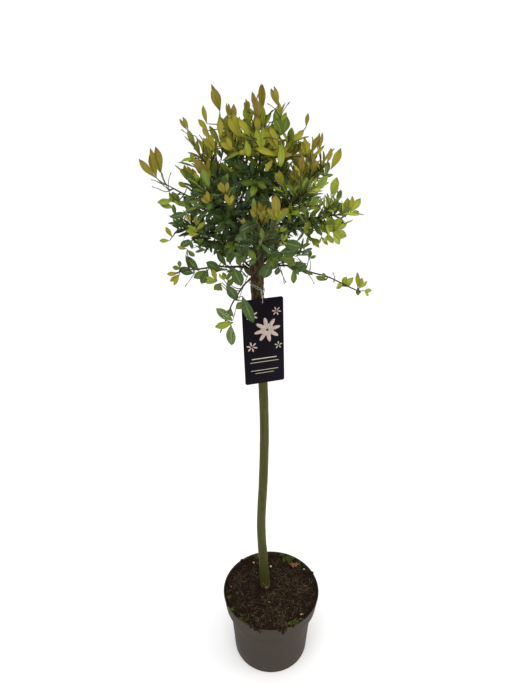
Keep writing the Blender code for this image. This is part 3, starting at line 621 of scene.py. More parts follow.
class Effect:
    """A tree of shader nodes being built."""

    def __init__(self, tree):
        self.tree = tree

    def feed(self, socket, value):
        """Feeds a socket from another one, or gives it a plain value or colour."""
        if isinstance(value, bpy.types.NodeSocket):
            self.tree.links.new(value, socket)
        elif socket.type == "RGBA":
            socket.default_value = (*value, 1.0)
        else:
            socket.default_value = value

    def add(self, kind, inputs=None, **settings):
        """A node's outputs. inputs gives, by name or number, what feeds each of its sockets."""
        made = self.tree.nodes.new("ShaderNode" + kind)
        for key, value in settings.items():
            setattr(made, key, value)
        for key, value in (inputs or {}).items():
            self.feed(made.inputs[key], value)
        return made.outputs

    def math(self, operation, *values):
        return self.add("Math", dict(enumerate(values)), operation=operation)[0]

    def times(self, first, second):
        return self.math("MULTIPLY", first, second)

    def ramp(self, value, low, high, first=0.0, last=1.0):
        """A smooth step of value from low to high."""
        return self.add("MapRange", {
            "Value": value, "From Min": low, "From Max": high, "To Min": first, "To Max": last,
        }, interpolation_type="SMOOTHSTEP")["Result"]

    def blend(self, share, first, second):
        return self.add("Mix", {0: share, 6: first, 7: second}, data_type="RGBA")[2]


def new_group(name, inputs, outputs):
    """An effect that others can hold, with these sockets; its inputs and its outputs."""
    tree = bpy.data.node_groups.new(name, "ShaderNodeTree")
    for sockets, way in ((inputs, "INPUT"), (outputs, "OUTPUT")):
        for label, kind, *value in sockets:
            socket = tree.interface.new_socket(
                name=label, in_out=way, socket_type="NodeSocket" + kind)
            if value:
                socket.default_value = value[0]
    given = tree.nodes.new("NodeGroupInput").outputs
    return Effect(tree), given, tree.nodes.new("NodeGroupOutput").inputs


def make_speckle_group():
    """Speckle: noise at one scale, stretched along Z, as a mask and a height."""
    effect, given, result = new_group(
        "speckle",
        [("Vector", "Vector"), ("Scale", "Float", 200.0), ("Stretch", "Float", 1.0),
         ("Low", "Float", 0.35), ("High", "Float", 0.65)],
        [("Mask", "Float"), ("Height", "Float")])
    x, y, z = effect.add("SeparateXYZ", {0: given["Vector"]})
    place = effect.add("CombineXYZ", {0: x, 1: y, 2: effect.math("DIVIDE", z, given["Stretch"])})
    noise = effect.add("TexNoise", {
        "Vector": place[0], "Scale": given["Scale"], "Detail": 4.0, "Roughness": 0.6})[0]
    effect.feed(result["Mask"], effect.ramp(noise, given["Low"], given["High"]))
    effect.feed(result["Height"], noise)
    return effect.tree


def make_dust_group():
    """Dust: a darker or paler film on faces that look up, broken by noise."""
    effect, given, result = new_group(
        "dust",
        [("Vector", "Vector"), ("Colour", "Color"), ("Dust Colour", "Color"),
         ("Amount", "Float", 0.3)],
        [("Colour", "Color")])
    normal = effect.add("SeparateXYZ", {0: effect.add("NewGeometry")["Normal"]})
    upward = effect.ramp(normal[2], -0.2, 0.9)
    noise = effect.add("TexNoise", {
        "Vector": given["Vector"], "Scale": 90.0, "Detail": 5.0, "Roughness": 0.65})
    broken = effect.ramp(noise[0], 0.35, 0.7)
    film = effect.times(effect.times(upward, broken), given["Amount"])
    effect.feed(result["Colour"], effect.blend(film, given["Colour"], given["Dust Colour"]))
    return effect.tree


SPECKLE = make_speckle_group()
DUST = make_dust_group()


class Finish(Effect):
    """A material being built: its shader, and its coats of colour on one another."""

    def __init__(self, name, roughness, specular=0.5):
        self.material = bpy.data.materials.new(name)
        self.material.use_nodes = True
        super().__init__(self.material.node_tree)
        self.looks = self.tree.nodes["Principled BSDF"].inputs
        self.feed(self.looks["Roughness"], roughness)
        self.feed(self.looks["Specular IOR Level"], specular)
        self.place = self.add("TexCoord")["Object"]

    def height(self):
        return self.add("SeparateXYZ", {0: self.place})[2]

    def speckle(self, scale, stretch=1.0, low=0.35, high=0.65):
        return self.add("Group", {
            "Vector": self.place, "Scale": scale, "Stretch": stretch, "Low": low, "High": high,
        }, node_tree=SPECKLE)

    def coat(self, colour, paint, mask, share):
        """The colour with paint over it, as thick as share where the mask is 1."""
        return self.blend(self.times(mask, share), colour, paint)

    def dusty(self, colour, dust, amount):
        return self.add("Group", {
            "Vector": self.place, "Colour": colour, "Dust Colour": dust, "Amount": amount,
        }, node_tree=DUST)["Colour"]

    def done(self, colour, height, strength, distance):
        """The material, with this colour and with a relief by this height."""
        self.feed(self.looks["Base Color"], colour)
        bump = self.add("Bump", {"Height": height, "Strength": strength, "Distance": distance})
        self.feed(self.looks["Normal"], bump["Normal"])
        return self.material


# -------------------- materials


def pot_plastic():
    """Dull taupe plastic from recycled stock: cloudy tone, fine flecks, dirt washed off the rim, and
    painted shade in a band at the collar's foot.
    """
    finish = Finish("pot_plastic", 0.66, 0.05)
    tone = finish.speckle(22.0, low=0.30, high=0.70)
    flecks = finish.speckle(900.0, low=0.60, high=0.72)
    streaks = finish.speckle(120.0, stretch=9.0, low=0.52, high=0.80)
    splashes = finish.speckle(60.0, low=0.40, high=0.65)
    height = finish.height()
    colour = finish.blend(tone["Mask"], (0.0440, 0.0362, 0.0272), (0.0535, 0.0447, 0.0337))
    colour = finish.blend(flecks["Mask"], colour, (0.078, 0.067, 0.052))
    colour = finish.coat(colour, (0.028, 0.020, 0.014), streaks["Mask"],
                         finish.ramp(height, 0.085, 0.152, 0.05, 0.55))
    collar_foot = POT_TOP - POT_COLLAR_HEIGHT
    # Painted shade: the colour darkens in a band round the collar's foot, to cancel the light that
    # the floor throws up onto it
    below = finish.ramp(height, collar_foot - 0.004, collar_foot - 0.001)
    above = finish.ramp(height, collar_foot + 0.009, collar_foot + 0.002)
    painted_collar_shade = finish.times(below, above)
    colour = finish.coat(colour, (0.022, 0.018, 0.013), painted_collar_shade, 0.85)
    colour = finish.coat(colour, (0.075, 0.064, 0.050), splashes["Mask"],
                         finish.ramp(height, 0.030, 0.0, 0.0, 0.5))
    colour = finish.dusty(colour, (0.028, 0.019, 0.013), 0.35)
    finish.feed(finish.looks["Roughness"], finish.ramp(tone["Height"], 0.3, 0.7, 0.48, 0.66))
    return finish.done(colour, finish.speckle(1400.0)["Height"], 0.12, 0.0004)


def compost():
    """Dark peat, nearly black in its hollows, partly its own tone and partly painted shade, and
    redder on its crumbs, with pale bits.
    """
    finish = Finish("compost", 0.95, 0.08)
    fine = finish.speckle(420.0, low=0.38, high=0.66)
    broad = finish.speckle(60.0)
    bits = finish.speckle(750.0, low=0.66, high=0.72)
    # The darkest tone lies where the relief is lowest: painted shade in the hollows as well as the
    # peat's own dark bits
    colour = finish.blend(fine["Mask"], (0.0043, 0.0023, 0.0015), (0.0248, 0.0134, 0.0082))
    colour = finish.coat(colour, (0.018, 0.012, 0.006), broad["Mask"], 0.5)
    colour = finish.blend(bits["Mask"], colour, (0.120, 0.080, 0.045))
    return finish.done(colour, fine["Height"], 0.9, 0.0015)


# The small things on the compost: dark tone, pale tone and the scale of their mottle
LITTER_LOOKS = {
    "root_hair": ((0.072, 0.047, 0.022), (0.185, 0.128, 0.066), 300.0),
    "root_bark": ((0.060, 0.044, 0.012), (0.190, 0.150, 0.045), 500.0),
    "perlite": ((0.520, 0.500, 0.440), (0.780, 0.760, 0.700), 900.0),
    "moss": ((0.050, 0.075, 0.010), (0.140, 0.190, 0.020), 160.0),
    "seedling_leaf": ((0.026, 0.042, 0.006), (0.060, 0.085, 0.012), 260.0),
    "seedling_stalk": ((0.060, 0.075, 0.020), (0.110, 0.110, 0.035), 260.0),
    "dead_leaf_rust": ((0.110, 0.040, 0.014), (0.230, 0.095, 0.038), 350.0),
    "dead_leaf_pale": ((0.300, 0.360, 0.210), (0.420, 0.470, 0.300), 350.0),
    "dead_leaf_straw": ((0.230, 0.150, 0.070), (0.380, 0.270, 0.140), 350.0),
}


def litter_finish(name):
    """A mottle of two tones with a fine relief."""
    dark, pale, scale = LITTER_LOOKS[name]
    finish = Finish(name, 0.8, 0.2)
    mottle = finish.speckle(scale, high=0.68)
    return finish.done(finish.blend(mottle["Mask"], dark, pale), mottle["Height"], 0.4, 0.0006)


def stem_bark():
    """Smooth olive bark with long streaks and corky dots, brown and rough on the grafted head,
    corky again at the foot."""
    finish = Finish("stem_bark", 0.60, 0.12)
    height = finish.height()
    streaks = finish.speckle(300.0, stretch=14.0, low=0.30, high=0.70)
    blotches = finish.speckle(55.0, stretch=2.5, low=0.40, high=0.66)
    dots = finish.speckle(420.0, stretch=0.45, low=0.665, high=0.70)
    flakes = finish.speckle(260.0, stretch=1.8, low=0.38, high=0.62)
    lichen = finish.speckle(140.0, stretch=1.3, low=0.58, high=0.70)
    stains = finish.speckle(230.0, low=0.44, high=0.60)
    green = finish.blend(streaks["Mask"], (0.036, 0.040, 0.006), (0.064, 0.067, 0.012))
    green = finish.coat(green, (0.056, 0.048, 0.014), blotches["Mask"], 0.55)
    green = finish.blend(dots["Mask"], green, (0.130, 0.105, 0.050))
    green = finish.blend(finish.ramp(height, *DARK_STEM, 0.0, 0.80), green, (0.028, 0.029, 0.006))
    brown = finish.blend(flakes["Mask"], (0.017, 0.011, 0.004), (0.078, 0.055, 0.021))
    brown = finish.coat(brown, (0.095, 0.085, 0.036), lichen["Mask"], 0.6)
    ragged = finish.math("ADD", height, finish.times(blotches["Height"], 0.05))
    head = finish.ramp(ragged, HEAD_FOOT - 0.005, HEAD_FOOT + 0.050)
    colour = finish.blend(head, green, brown)
    corky = finish.blend(stains["Mask"], (0.018, 0.012, 0.006), (0.150, 0.108, 0.034))
    ragged = finish.math("ADD", height, finish.times(stains["Height"], 0.012))
    foot = finish.ramp(ragged, COLLAR_TOP + 0.010, COLLAR_TOP, 0.0, 0.95)
    colour = finish.blend(foot, colour, corky)
    scar = finish.add("Attribute", attribute_name="scar")["Fac"]
    colour = finish.coat(colour, (0.034, 0.024, 0.011), scar, 0.8)
    finish.feed(finish.looks["Roughness"], finish.ramp(head, 0.0, 1.0, 0.50, 0.85))
    relief = finish.math("ADD", finish.times(streaks["Height"], 0.5),
                         finish.times(head, flakes["Height"]))
    return finish.done(colour, relief, 0.45, 0.0012)


def twig_bark(name, young, old, roughness):
    """Thin bark: green turning to red brown, in short rings and streaks."""
    finish = Finish(name, roughness, 0.2)
    tone = finish.speckle(35.0, low=0.36, high=0.64)
    streaks = finish.speckle(500.0, stretch=3.0, high=0.7)
    aged = finish.times(finish.ramp(finish.height(), *GREEN_WOOD, 1.0, 0.15),
                       tone["Mask"])
    colour = finish.blend(aged, young, old)
    shade = [0.55 * value for value in young]
    colour = finish.coat(colour, shade, streaks["Mask"], 0.5)
    return finish.done(colour, streaks["Height"], 0.35, 0.0006)


def leaf_finish(name, blade, shade, rib, margin, underside, roughness, flecks=None):
    """A leaf: two tones of blade, a pale rib and side veins, a tinted margin, a dull underside."""
    finish = Finish(name, roughness, 0.22)
    across, along, _ = finish.add("SeparateXYZ", {0: finish.add("UVMap")[0]})
    off_rib = finish.times(finish.math("ABSOLUTE", finish.math("SUBTRACT", across, 0.5)), 2.0)
    colour = finish.blend(finish.speckle(130.0, low=0.32, high=0.68)["Mask"], blade, shade)
    if flecks:
        spots = finish.speckle(900.0, low=0.50, high=0.60)
        colour = finish.coat(colour, flecks, spots["Mask"], 0.75)
    slanted = finish.math("SUBTRACT", finish.times(along, 11.0), finish.times(off_rib, 2.6))
    off_vein = finish.math("ABSOLUTE", finish.math(
        "SUBTRACT", finish.math("FRACT", slanted), 0.5))
    vein = finish.ramp(off_vein, 0.10, 0.0, 0.0, 0.35)
    colour = finish.blend(vein, colour, rib)
    colour = finish.blend(finish.ramp(off_rib, 0.16, 0.06, 0.0, 0.85), colour, rib)
    colour = finish.blend(finish.ramp(off_rib, 0.70, 1.0, 0.0, 0.55), colour, margin)
    colour = finish.blend(finish.ramp(along, 0.72, 1.0, 0.0, 0.5), colour, margin)
    behind = finish.add("NewGeometry")["Backfacing"]
    relief = finish.math("SUBTRACT", finish.times(vein, -0.6),
                         finish.ramp(off_rib, 0.20, 0.0, 0.0, 1.0))
    return finish.done(finish.blend(behind, colour, underside), relief, 0.35, 0.0004)


# Each tint: blade, its second tone, rib, margin, underside, roughness, and flecks if it has any
LEAF_PAINTS = {
    "bronze": ((0.205, 0.168, 0.013), (0.178, 0.174, 0.012), (0.26, 0.24, 0.038),
        (0.255, 0.112, 0.014), (0.195, 0.15, 0.022), 0.50),
    "olive": ((0.215, 0.21, 0.008), (0.255, 0.225, 0.01), (0.3, 0.295, 0.04),
        (0.235, 0.185, 0.012), (0.215, 0.225, 0.034), 0.50),
    "lime": ((0.17, 0.23, 0.008), (0.222, 0.252, 0.011), (0.275, 0.325, 0.05),
        (0.2, 0.205, 0.012), (0.19, 0.255, 0.04), 0.50),
    "fresh": ((0.215, 0.27, 0.014), (0.28, 0.305, 0.024), (0.34, 0.39, 0.075),
        (0.26, 0.24, 0.02), (0.225, 0.285, 0.06), 0.50),
    "green": ((0.072, 0.116, 0.009), (0.104, 0.14, 0.011), (0.17, 0.23, 0.05),
        (0.108, 0.122, 0.012), (0.108, 0.158, 0.04), 0.48),
    "dark": ((0.034, 0.066, 0.011), (0.05, 0.088, 0.014), (0.125, 0.18, 0.055),
        (0.046, 0.07, 0.012), (0.078, 0.122, 0.046), 0.46),
    "variegated": ((0.036, 0.07, 0.008), (0.058, 0.09, 0.01), (0.19, 0.24, 0.06),
        (0.12, 0.135, 0.022), (0.12, 0.17, 0.05), 0.5, (0.32, 0.385, 0.14)),
}


def leaf_finishes():
    return {tint: leaf_finish(f"leaf_{tint}", *paints) for tint, paints in LEAF_PAINTS.items()}


def label_gloss():
    """Near-black laminated card with a faint sheen of scratches."""
    finish = Finish("label_card", 0.38, 0.06)
    tone = finish.speckle(40.0, low=0.3, high=0.7)
    scuffs = finish.speckle(260.0, stretch=6.0, low=0.64, high=0.78)
    colour = finish.blend(tone["Mask"], (0.0028, 0.0013, 0.0042), (0.0046, 0.0030, 0.0064))
    colour = finish.coat(colour, (0.020, 0.017, 0.023), scuffs["Mask"], 0.25)
    finish.feed(finish.looks["Roughness"], finish.ramp(scuffs["Height"], 0.3, 0.8, 0.28, 0.45))
    return finish.done(colour, finish.speckle(600.0)["Height"], 0.04, 0.0003)


def label_ink(name, ink, second):
    """Printed ink, a little uneven."""
    finish = Finish(name, 0.45, 0.2)
    colour = finish.blend(finish.speckle(180.0)["Mask"], ink, second)
    return finish.done(colour, finish.speckle(1200.0)["Height"], 0.05, 0.0002)


def tie_plastic():
    """Milky elastic: cool white with greyer stretches."""
    finish = Finish("label_tie", 0.35)
    tone = finish.speckle(240.0, low=0.4, high=0.6)
    colour = finish.blend(tone["Mask"], (0.27, 0.29, 0.29), (0.50, 0.50, 0.47))
    return finish.done(colour, tone["Height"], 0.2, 0.0004)


# -------------------- the pot


def pot_rows():
    """(radius, height) rows up the outside, over the lip and down the inside."""
    top = POT_TOP
    collar_foot = top - POT_COLLAR_HEIGHT
    step_foot = collar_foot - POT_STEP_DROP
    lip = POT_WALL / 2
    outside = [
        (POT_BASE_RADIUS - 0.0015, POT_FLOOR), (POT_BASE_RADIUS - 0.0004, POT_FLOOR + 0.0004),
        (POT_BASE_RADIUS, POT_FLOOR + 0.0015), (POT_BASE_RADIUS + 0.0036, 0.055),
        (POT_BODY_TOP_RADIUS - 0.0006, step_foot - 0.006),
        (POT_BODY_TOP_RADIUS + 0.0004, step_foot - 0.0015),
        (POT_BODY_TOP_RADIUS + 0.0024, step_foot + 0.0010),
        (POT_COLLAR_FOOT_RADIUS - 0.0030, collar_foot - 0.0002),
        (POT_COLLAR_FOOT_RADIUS - 0.0010, collar_foot + 0.0024),
        (POT_COLLAR_FOOT_RADIUS + 0.0002, collar_foot + 0.0060),
        (POT_COLLAR_FOOT_RADIUS + 0.0020, collar_foot + 0.020),
        (POT_RIM_RADIUS - 0.0001, top - 0.0010),
    ]
    over_lip = [
        (POT_RIM_RADIUS - lip + lip * math.cos(angle), top - lip + lip * math.sin(angle))
        for angle in (math.radians(step) for step in (15, 45, 75, 105, 135, 165))
    ]
    inside = [
        (POT_RIM_RADIUS - POT_WALL - 0.0002, top - 0.003),
        (POT_COLLAR_FOOT_RADIUS - POT_WALL, collar_foot + POT_WALL),
        (POT_BODY_TOP_RADIUS - POT_WALL, step_foot + POT_WALL),
        (POT_BASE_RADIUS - POT_WALL, POT_FLOOR + POT_WALL),
    ]
    return outside + over_lip + inside


def make_pot():
    pot = turned_solid("pot", pot_rows(), POT_SIDES)
    pick(pot, lambda face: face.calc_center_median().z < POT_FLOOR + 1e-5, "FACE")
    bpy.ops.mesh.inset(thickness=0.006)
    bpy.ops.mesh.inset(thickness=0.0006, depth=-0.0005)
    close_piece(turn_outwards=True)
    cutters = []
    for number in range(DRAIN_HOLE_COUNT):
        place = outward(FULL_TURN * (number + 0.5) / DRAIN_HOLE_COUNT) * DRAIN_CIRCLE_RADIUS
        place.z = POT_FLOOR
        cutters.append(add_primitive(
            "drain_cutter", bpy.ops.mesh.primitive_cylinder_add, vertices=24,
            radius=DRAIN_HOLE_RADIUS, depth=6 * POT_WALL, location=place))
    cut_away(pot, join("drain_cutters", *cutters))
    smooth(pot, 35)
    settle(pot, "pot_plastic", pot_plastic(), "pot")


# -------------------- the compost


def soil_rows():
    inner = POT_WALL + SOIL_GAP
    collar_foot = POT_TOP - POT_COLLAR_HEIGHT
    edge = POT_RIM_RADIUS - inner
    return [
        (POT_BASE_RADIUS - inner, SOIL_FOOT),
        (POT_BODY_TOP_RADIUS - inner, collar_foot - POT_STEP_DROP + POT_WALL),
        (POT_COLLAR_FOOT_RADIUS - inner, collar_foot + POT_WALL + 0.0004),
        (edge - 0.0004, SOIL_EDGE_TOP - 0.003),
        (edge - 0.0004, SOIL_EDGE_TOP),
    ]


SOIL_RING_STEP = 0.0016
SOIL_SIDES = 160
MOUND_HEIGHT = 0.0100       # the compost is banked up round the trunk
MOUND_SPREAD = 0.0240
LITTER_REACH = 0.0905       # how far out small things lie
BARE_FOOT = 0.0130          # and how far they keep from the middle of the trunk's foot


def make_soil(finish):
    """The root ball, its top a fine net of rings raised into crumbs and hollows."""
    rows = soil_rows()
    edge = rows[-1][0]
    soil = turned_solid("compost", rows, SOIL_SIDES)
    for _ in range(int((edge - 0.002) / SOIL_RING_STEP)):
        bpy.ops.mesh.inset(thickness=SOIL_RING_STEP)
    bpy.ops.mesh.poke()
    close_piece(turn_outwards=True)

    def on_top(place):
        if place.z < SOIL_EDGE_TOP - 0.001:
            return 0.0
        return min(1.0, (edge - math.hypot(place.x, place.y)) / 0.004 + 0.15)

    def on_mound(place):
        return on_top(place) * math.exp(-((place - STEM_FOOT).xy.length / MOUND_SPREAD) ** 2)

    weigh(soil, "top", on_top)
    weigh(soil, "mound", on_mound)
    roughen(soil, 0.026, 0.0050, "top", mid=0.42)
    roughen(soil, 0.0070, 0.0042, "top", depth=3)
    roughen(soil, 0.0024, 0.0026, "top", depth=3)
    apply_modifier(soil, "DISPLACE", direction="Z", strength=MOUND_HEIGHT, mid_level=0.0,
                   vertex_group="mound")
    smooth(soil, 80)
    return settle(soil, "compost", finish, "soil")


def turned_place(place, turn, size):
    """A 4x4 that sets a model at place, turned and scaled along each axis."""
    return Matrix.LocRotScale(place, turn, Vector(size))


def random_turn(rng):
    return Euler([any_angle(rng) for _ in range(3)]).to_quaternion()


def model_crumb(name, rng):
    """A lump of peat: a small ball knocked out of round."""
    piece = open_primitive(name, bpy.ops.mesh.primitive_uv_sphere_add, segments=7, ring_count=5,
                           radius=1.0)
    bpy.ops.transform.vertex_random(offset=0.28, seed=rng.randrange(1, 99))
    close_piece()
    return piece


class Ground:
    """The compost's surface, for setting small things down on it."""

    def __init__(self, soil):
        self.tree = BVHTree.FromObject(soil, bpy.context.evaluated_depsgraph_get())

    def at(self, x, y):
        hit = self.tree.ray_cast(Vector((x, y, POT_TOP + 0.05)), -UP)[0]
        return hit or Vector((x, y, SOIL_TOP))

    def under(self, place):
        return self.at(place.x, place.y)

    def anywhere(self, rng):
        """A random place on the compost, off the trunk's foot."""
        while True:
            place = LITTER_REACH * math.sqrt(rng.random()) * outward(any_angle(rng))
            if (place - STEM_FOOT).length > BARE_FOOT:
                return self.under(place)


CRUMB_COUNT = 1700
RIM_CRUMB_COUNT = 420
RIM_CRUMB_START = 0.0850    # from here outwards they lie thickest
FOOT_CRUMB_COUNT = 420
HEAP_START = 0.0110         # where the crumbs heaped at the trunk's foot start
HEAP_WIDTH = 0.0090


def make_crumbs(ground, finish):
    """Crumbs all over the compost, thickest round the rim and heaped at the trunk's foot."""
    rng = random.Random(SEED + 1)
    models = [model_crumb(f"crumb_{number}", rng) for number in range(2)]
    places = []
    for number in range(CRUMB_COUNT + RIM_CRUMB_COUNT):
        if number < CRUMB_COUNT:
            spot = ground.anywhere(rng)
        else:
            out = outward(any_angle(rng))
            spot = ground.under(out * rng.uniform(RIM_CRUMB_START, LITTER_REACH))
        size = 0.0006 + 0.0019 * rng.random() ** 3
        shape = [size * rng.uniform(0.7, 1.3) for _ in range(3)]
        places.append(turned_place(spot + UP * size * 0.2, random_turn(rng), shape))
    for number in range(FOOT_CRUMB_COUNT):
        out = side_of(UP, any_angle(rng)) * (HEAP_START + rng.random() * HEAP_WIDTH)
        climb = max(0.0, HEAP_START + HEAP_WIDTH - out.length) * rng.uniform(0.0, 0.6)
        spot = ground.under(STEM_FOOT + out) + UP * climb
        size = rng.uniform(0.0010, 0.0022)
        places.append(turned_place(spot, random_turn(rng), [size] * 3))
    crumbs = join("compost_crumbs", *[
        joined_copies(f"crumbs_{number}", model, places[number::len(models)])
        for number, model in enumerate(models)])
    remove(*models)
    settle(crumbs, "compost", finish)


# Peat and moss pushed over the rim: bearing on the rim in degrees, size in mm along and down it
RIM_CLUMPS = ((251.5, 9, 9), (256.5, 8, 12), (283.0, 6, 15), (286.5, 4, 9), (246.0, 7, 4.0),
              (279.0, 6, 4.0), (295.5, 7, 2.6), (24.0, 6, 2.5), (131.0, 7, 2.6), (205.0, 5, 2.4))
SHAGGY_CLUMPS = 4           # the first of them have root hair hanging from them
HAIRS_PER_CLUMP = 9


def make_rim_clumps(finish):
    """Knots of fibrous peat that lap over the pot's rim."""
    rng = random.Random(SEED + 2)
    pieces = []
    for degrees, across, down in RIM_CLUMPS:
        angle = math.radians(degrees)
        place = outward(angle) * (POT_RIM_RADIUS - 0.0012)
        place.z = POT_TOP + 0.0006 - 0.35 * down * MM
        clump = open_primitive(
            "clump", bpy.ops.mesh.primitive_ico_sphere_add, subdivisions=3, radius=1.0,
            location=place, rotation=(0, 0, angle),
            scale=(0.0030, 0.5 * across * MM, 0.62 * down * MM))
        bpy.ops.transform.vertex_random(offset=0.0006, seed=rng.randrange(1, 99))
        close_piece()
        roughen(clump, 0.0035, 0.0030, depth=3)
        pieces.append(clump)
    clumps = join("peat_clumps", *pieces)
    smooth(clumps, 80)
    settle(clumps, "compost", finish)


def clump_hairs(rng):
    """Root hair that hangs out of the larger knots of peat on the rim."""
    lines = []
    for degrees, across, down in RIM_CLUMPS[:SHAGGY_CLUMPS]:
        for _ in range(HAIRS_PER_CLUMP):
            out = outward(math.radians(degrees)
                          + rng.uniform(-0.6, 0.6) * across * MM / POT_RIM_RADIUS)
            drop = rng.uniform(0.0, 0.8) * down * MM
            start = out * (POT_RIM_RADIUS + 0.0008) + UP * (POT_TOP + 0.002 - drop)
            heading = (out * 0.25 + side_of(UP, any_angle(rng)) * 0.6
                       - UP * rng.uniform(-0.4, 1.0)).normalized()
            path = wandering_line(start, heading, rng.uniform(0.004, 0.009), 6, 0.5, rng)
            lines.append((path, [rng.uniform(0.00012, 0.00024)] * len(path)))
    return lines


def wandering_line(start, heading, length, steps, turn, rng, flat=False):
    """A line of steps points from start that turns a little at random at each one."""
    points, heading = [start.copy()], heading.normalized()
    for _ in range(steps):
        drift = jitter(rng, turn)
        if flat:
            drift.z *= 0.3
        heading = (heading + drift).normalized()
        points.append(points[-1] + heading * (length / steps))
    return points


FIBRE_COUNT = 620
FIBRE_START_REACH = 0.0910  # how far out root hair may start
FIBRE_LYING_REACH = 0.0925  # up to here it follows the compost's surface
FIBRE_END_REACH = 0.0945
# Where longer root hair is matted: x and y in mm, and how far it spreads
FIBRE_MATS = ((30, 0, 30), (48, 14, 24), (62, -8, 24), (-30, -40, 40), (10, -66, 22),
              (24, -86, 10), (-25, -86, 12), (-60, 20, 34), (10, 50, 26), (30, -30, 34),
              (-3, -13, 10))


def make_fibres(ground):
    """Straw-coloured root hair, lying curled on the compost."""
    rng = random.Random(SEED + 3)
    lines = []
    for number in range(FIBRE_COUNT):
        if number % 3:
            x, y, spread = FIBRE_MATS[number % len(FIBRE_MATS)]
            start = Vector((x + rng.gauss(0, spread / 2), y + rng.gauss(0, spread / 2), 0)) * MM
            if start.length > FIBRE_START_REACH:
                continue
            start = ground.under(start)
        else:
            start = ground.anywhere(rng)
        heading = outward(any_angle(rng), rng.uniform(0.0, 0.25))
        path = wandering_line(start, heading, rng.uniform(0.006, 0.024), 9, 0.34, rng, flat=True)
        for point in path:
            if point.xy.length < FIBRE_LYING_REACH:
                floor = ground.under(point).z
                point.z = max(min(point.z, floor + 0.0028), floor + 0.0002)
        inside = [point for point in path if point.xy.length < FIBRE_END_REACH]
        if len(inside) > 3:
            lines.append((inside, [rng.uniform(0.00009, 0.00020)] * len(inside)))
    lines += clump_hairs(rng)
    settle(tubes("root_hair", lines, sides=4), "compost", litter_finish("root_hair"))


# The larger grains: x, y and size in mm
PERLITE = ((-4, -32, 1.1), (17, -34, 0.7), (-5, -15, 0.8), (-8, -9, 0.7), (8, 25, 0.5),
           (-77, 15, 0.6), (-80, 5, 0.6), (-74, 24, 0.5), (52, -58, 0.6), (70, 10, 0.5),
           (-30, 40, 0.5), (30, 36, 0.5), (-8, 74, 0.6), (-52, -30, 0.4), (44, -30, 0.5))
PERLITE_DUST = 34           # grains of dust besides


def make_perlite(ground):
    """White grains of perlite."""
    rng = random.Random(SEED + 4)
    model = model_crumb("grain", rng)
    places = []
    for x, y, size in PERLITE:
        spot = ground.at(x * MM, y * MM) + UP * 0.4 * size * MM
        places.append(turned_place(spot, random_turn(rng),
                                   [size * MM * rng.uniform(0.8, 1.2) for _ in range(3)]))
    for _ in range(PERLITE_DUST):
        size = rng.uniform(0.0002, 0.0005)
        places.append(turned_place(ground.anywhere(rng) + UP * size, random_turn(rng), [size] * 3))
    grains = joined_copies("perlite", model, places)
    remove(model)
    settle(grains, "compost", litter_finish("perlite"))


# -------------------- leaves: the models

LEAF_ROWS = 8
LEAF_COLUMNS = 4
ADULT_WIDTHS = (0.06, 0.38, 0.68, 0.90, 1.00, 0.97, 0.83, 0.56, 0.05)
YOUNG_WIDTHS = (0.05, 0.30, 0.56, 0.80, 0.96, 1.00, 0.86, 0.52, 0.04)


def model_leaf(name, widths, fold, curl, cup):
    """One leaf, 1 long along +Y and 1 wide, its upper face up: rows of a grid drawn in to the
    outline, the blade folded up along its rib and bent back towards its tip."""
    leaf = open_primitive(
        name, bpy.ops.mesh.primitive_grid_add, x_subdivisions=LEAF_COLUMNS,
        y_subdivisions=LEAF_ROWS, size=1, location=(0, 0.5, 0))
    rows = list(zip(shares(LEAF_ROWS), widths))
    for along, width in rows:
        pick(leaf, lambda corner, y=along: abs(corner.co.y - y) < 0.01)
        bpy.ops.transform.resize(value=(width, 1, 1), center_override=(0, along, 0))
        bpy.ops.transform.translate(value=(0, 0, curl * along * (0.35 - along)))
    pick(leaf, lambda corner: abs(corner.co.x) > 0.02)
    bpy.ops.transform.translate(value=(0, 0, fold))
    for along, width in rows:
        pick(leaf, lambda corner, y=along, edge=0.36 * width: (
            abs(corner.co.y - y) < 0.01 and abs(corner.co.x) > edge))
        bpy.ops.transform.translate(value=(0, 0, cup * width))
    bpy.ops.mesh.select_all(action="SELECT")
    bpy.ops.mesh.remove_doubles(threshold=0.02)
    close_piece()
    return leaf


def leaf_models():
    return {
        "adult": model_leaf("leaf_adult", ADULT_WIDTHS, fold=0.020, curl=0.16, cup=0.010),
        "young": model_leaf("leaf_young", YOUNG_WIDTHS, fold=0.045, curl=0.06, cup=0.030),
        "bent": model_leaf("leaf_bent", ADULT_WIDTHS, fold=0.028, curl=0.34, cup=-0.012),
    }


class Blade(namedtuple("Blade", "root along normal length width shape tint", defaults=("", ""))):
    """Where a leaf grows, how it lies, and which model and tint it takes."""

    def middle(self):
        return self.root + self.along.normalized() * (self.length * 0.55)

    def matrix(self):
        """The 4x4 that lays the leaf's model on its place."""
        along = self.along.normalized()
        normal = (self.normal - along * self.normal.dot(along)).normalized()
        columns = (along.cross(normal) * self.width, along * self.length,
                   normal * self.length, self.root)
        return Matrix([[column[row] for column in columns] for row in range(3)] + [[0, 0, 0, 1]])


# -------------------- limbs


def spline_through(stations, count):
    """count rows spread along a smooth line through the stations (Catmull-Rom)."""
    spans = len(stations) - 1
    rows = []
    for step in range(count):
        place = spans * step / (count - 1)
        span = min(int(place), spans - 1)
        t = place - span
        ends = [stations[min(max(span + k, 0), spans)] for k in (-1, 0, 1, 2)]
        rows.append([
            0.5 * (2 * b + (c - a) * t + (2 * a - 5 * b + 4 * c - d) * t * t
                   + (3 * b - a - 3 * c + d) * t ** 3)
            for a, b, c, d in zip(*ends)
        ])
    return rows


def trunk_rows():
    """(place, radius) rows up the trunk, close together where its stations are."""
    rows = spline_through(TRUNK_STATIONS[1:], TRUNK_RINGS)
    foot = TRUNK_STATIONS[0]
    rows = [(foot[0], foot[1], foot[2], rows[0][3])] + rows
    return [(Vector((x, y, z)), radius) for z, x, y, radius in rows]


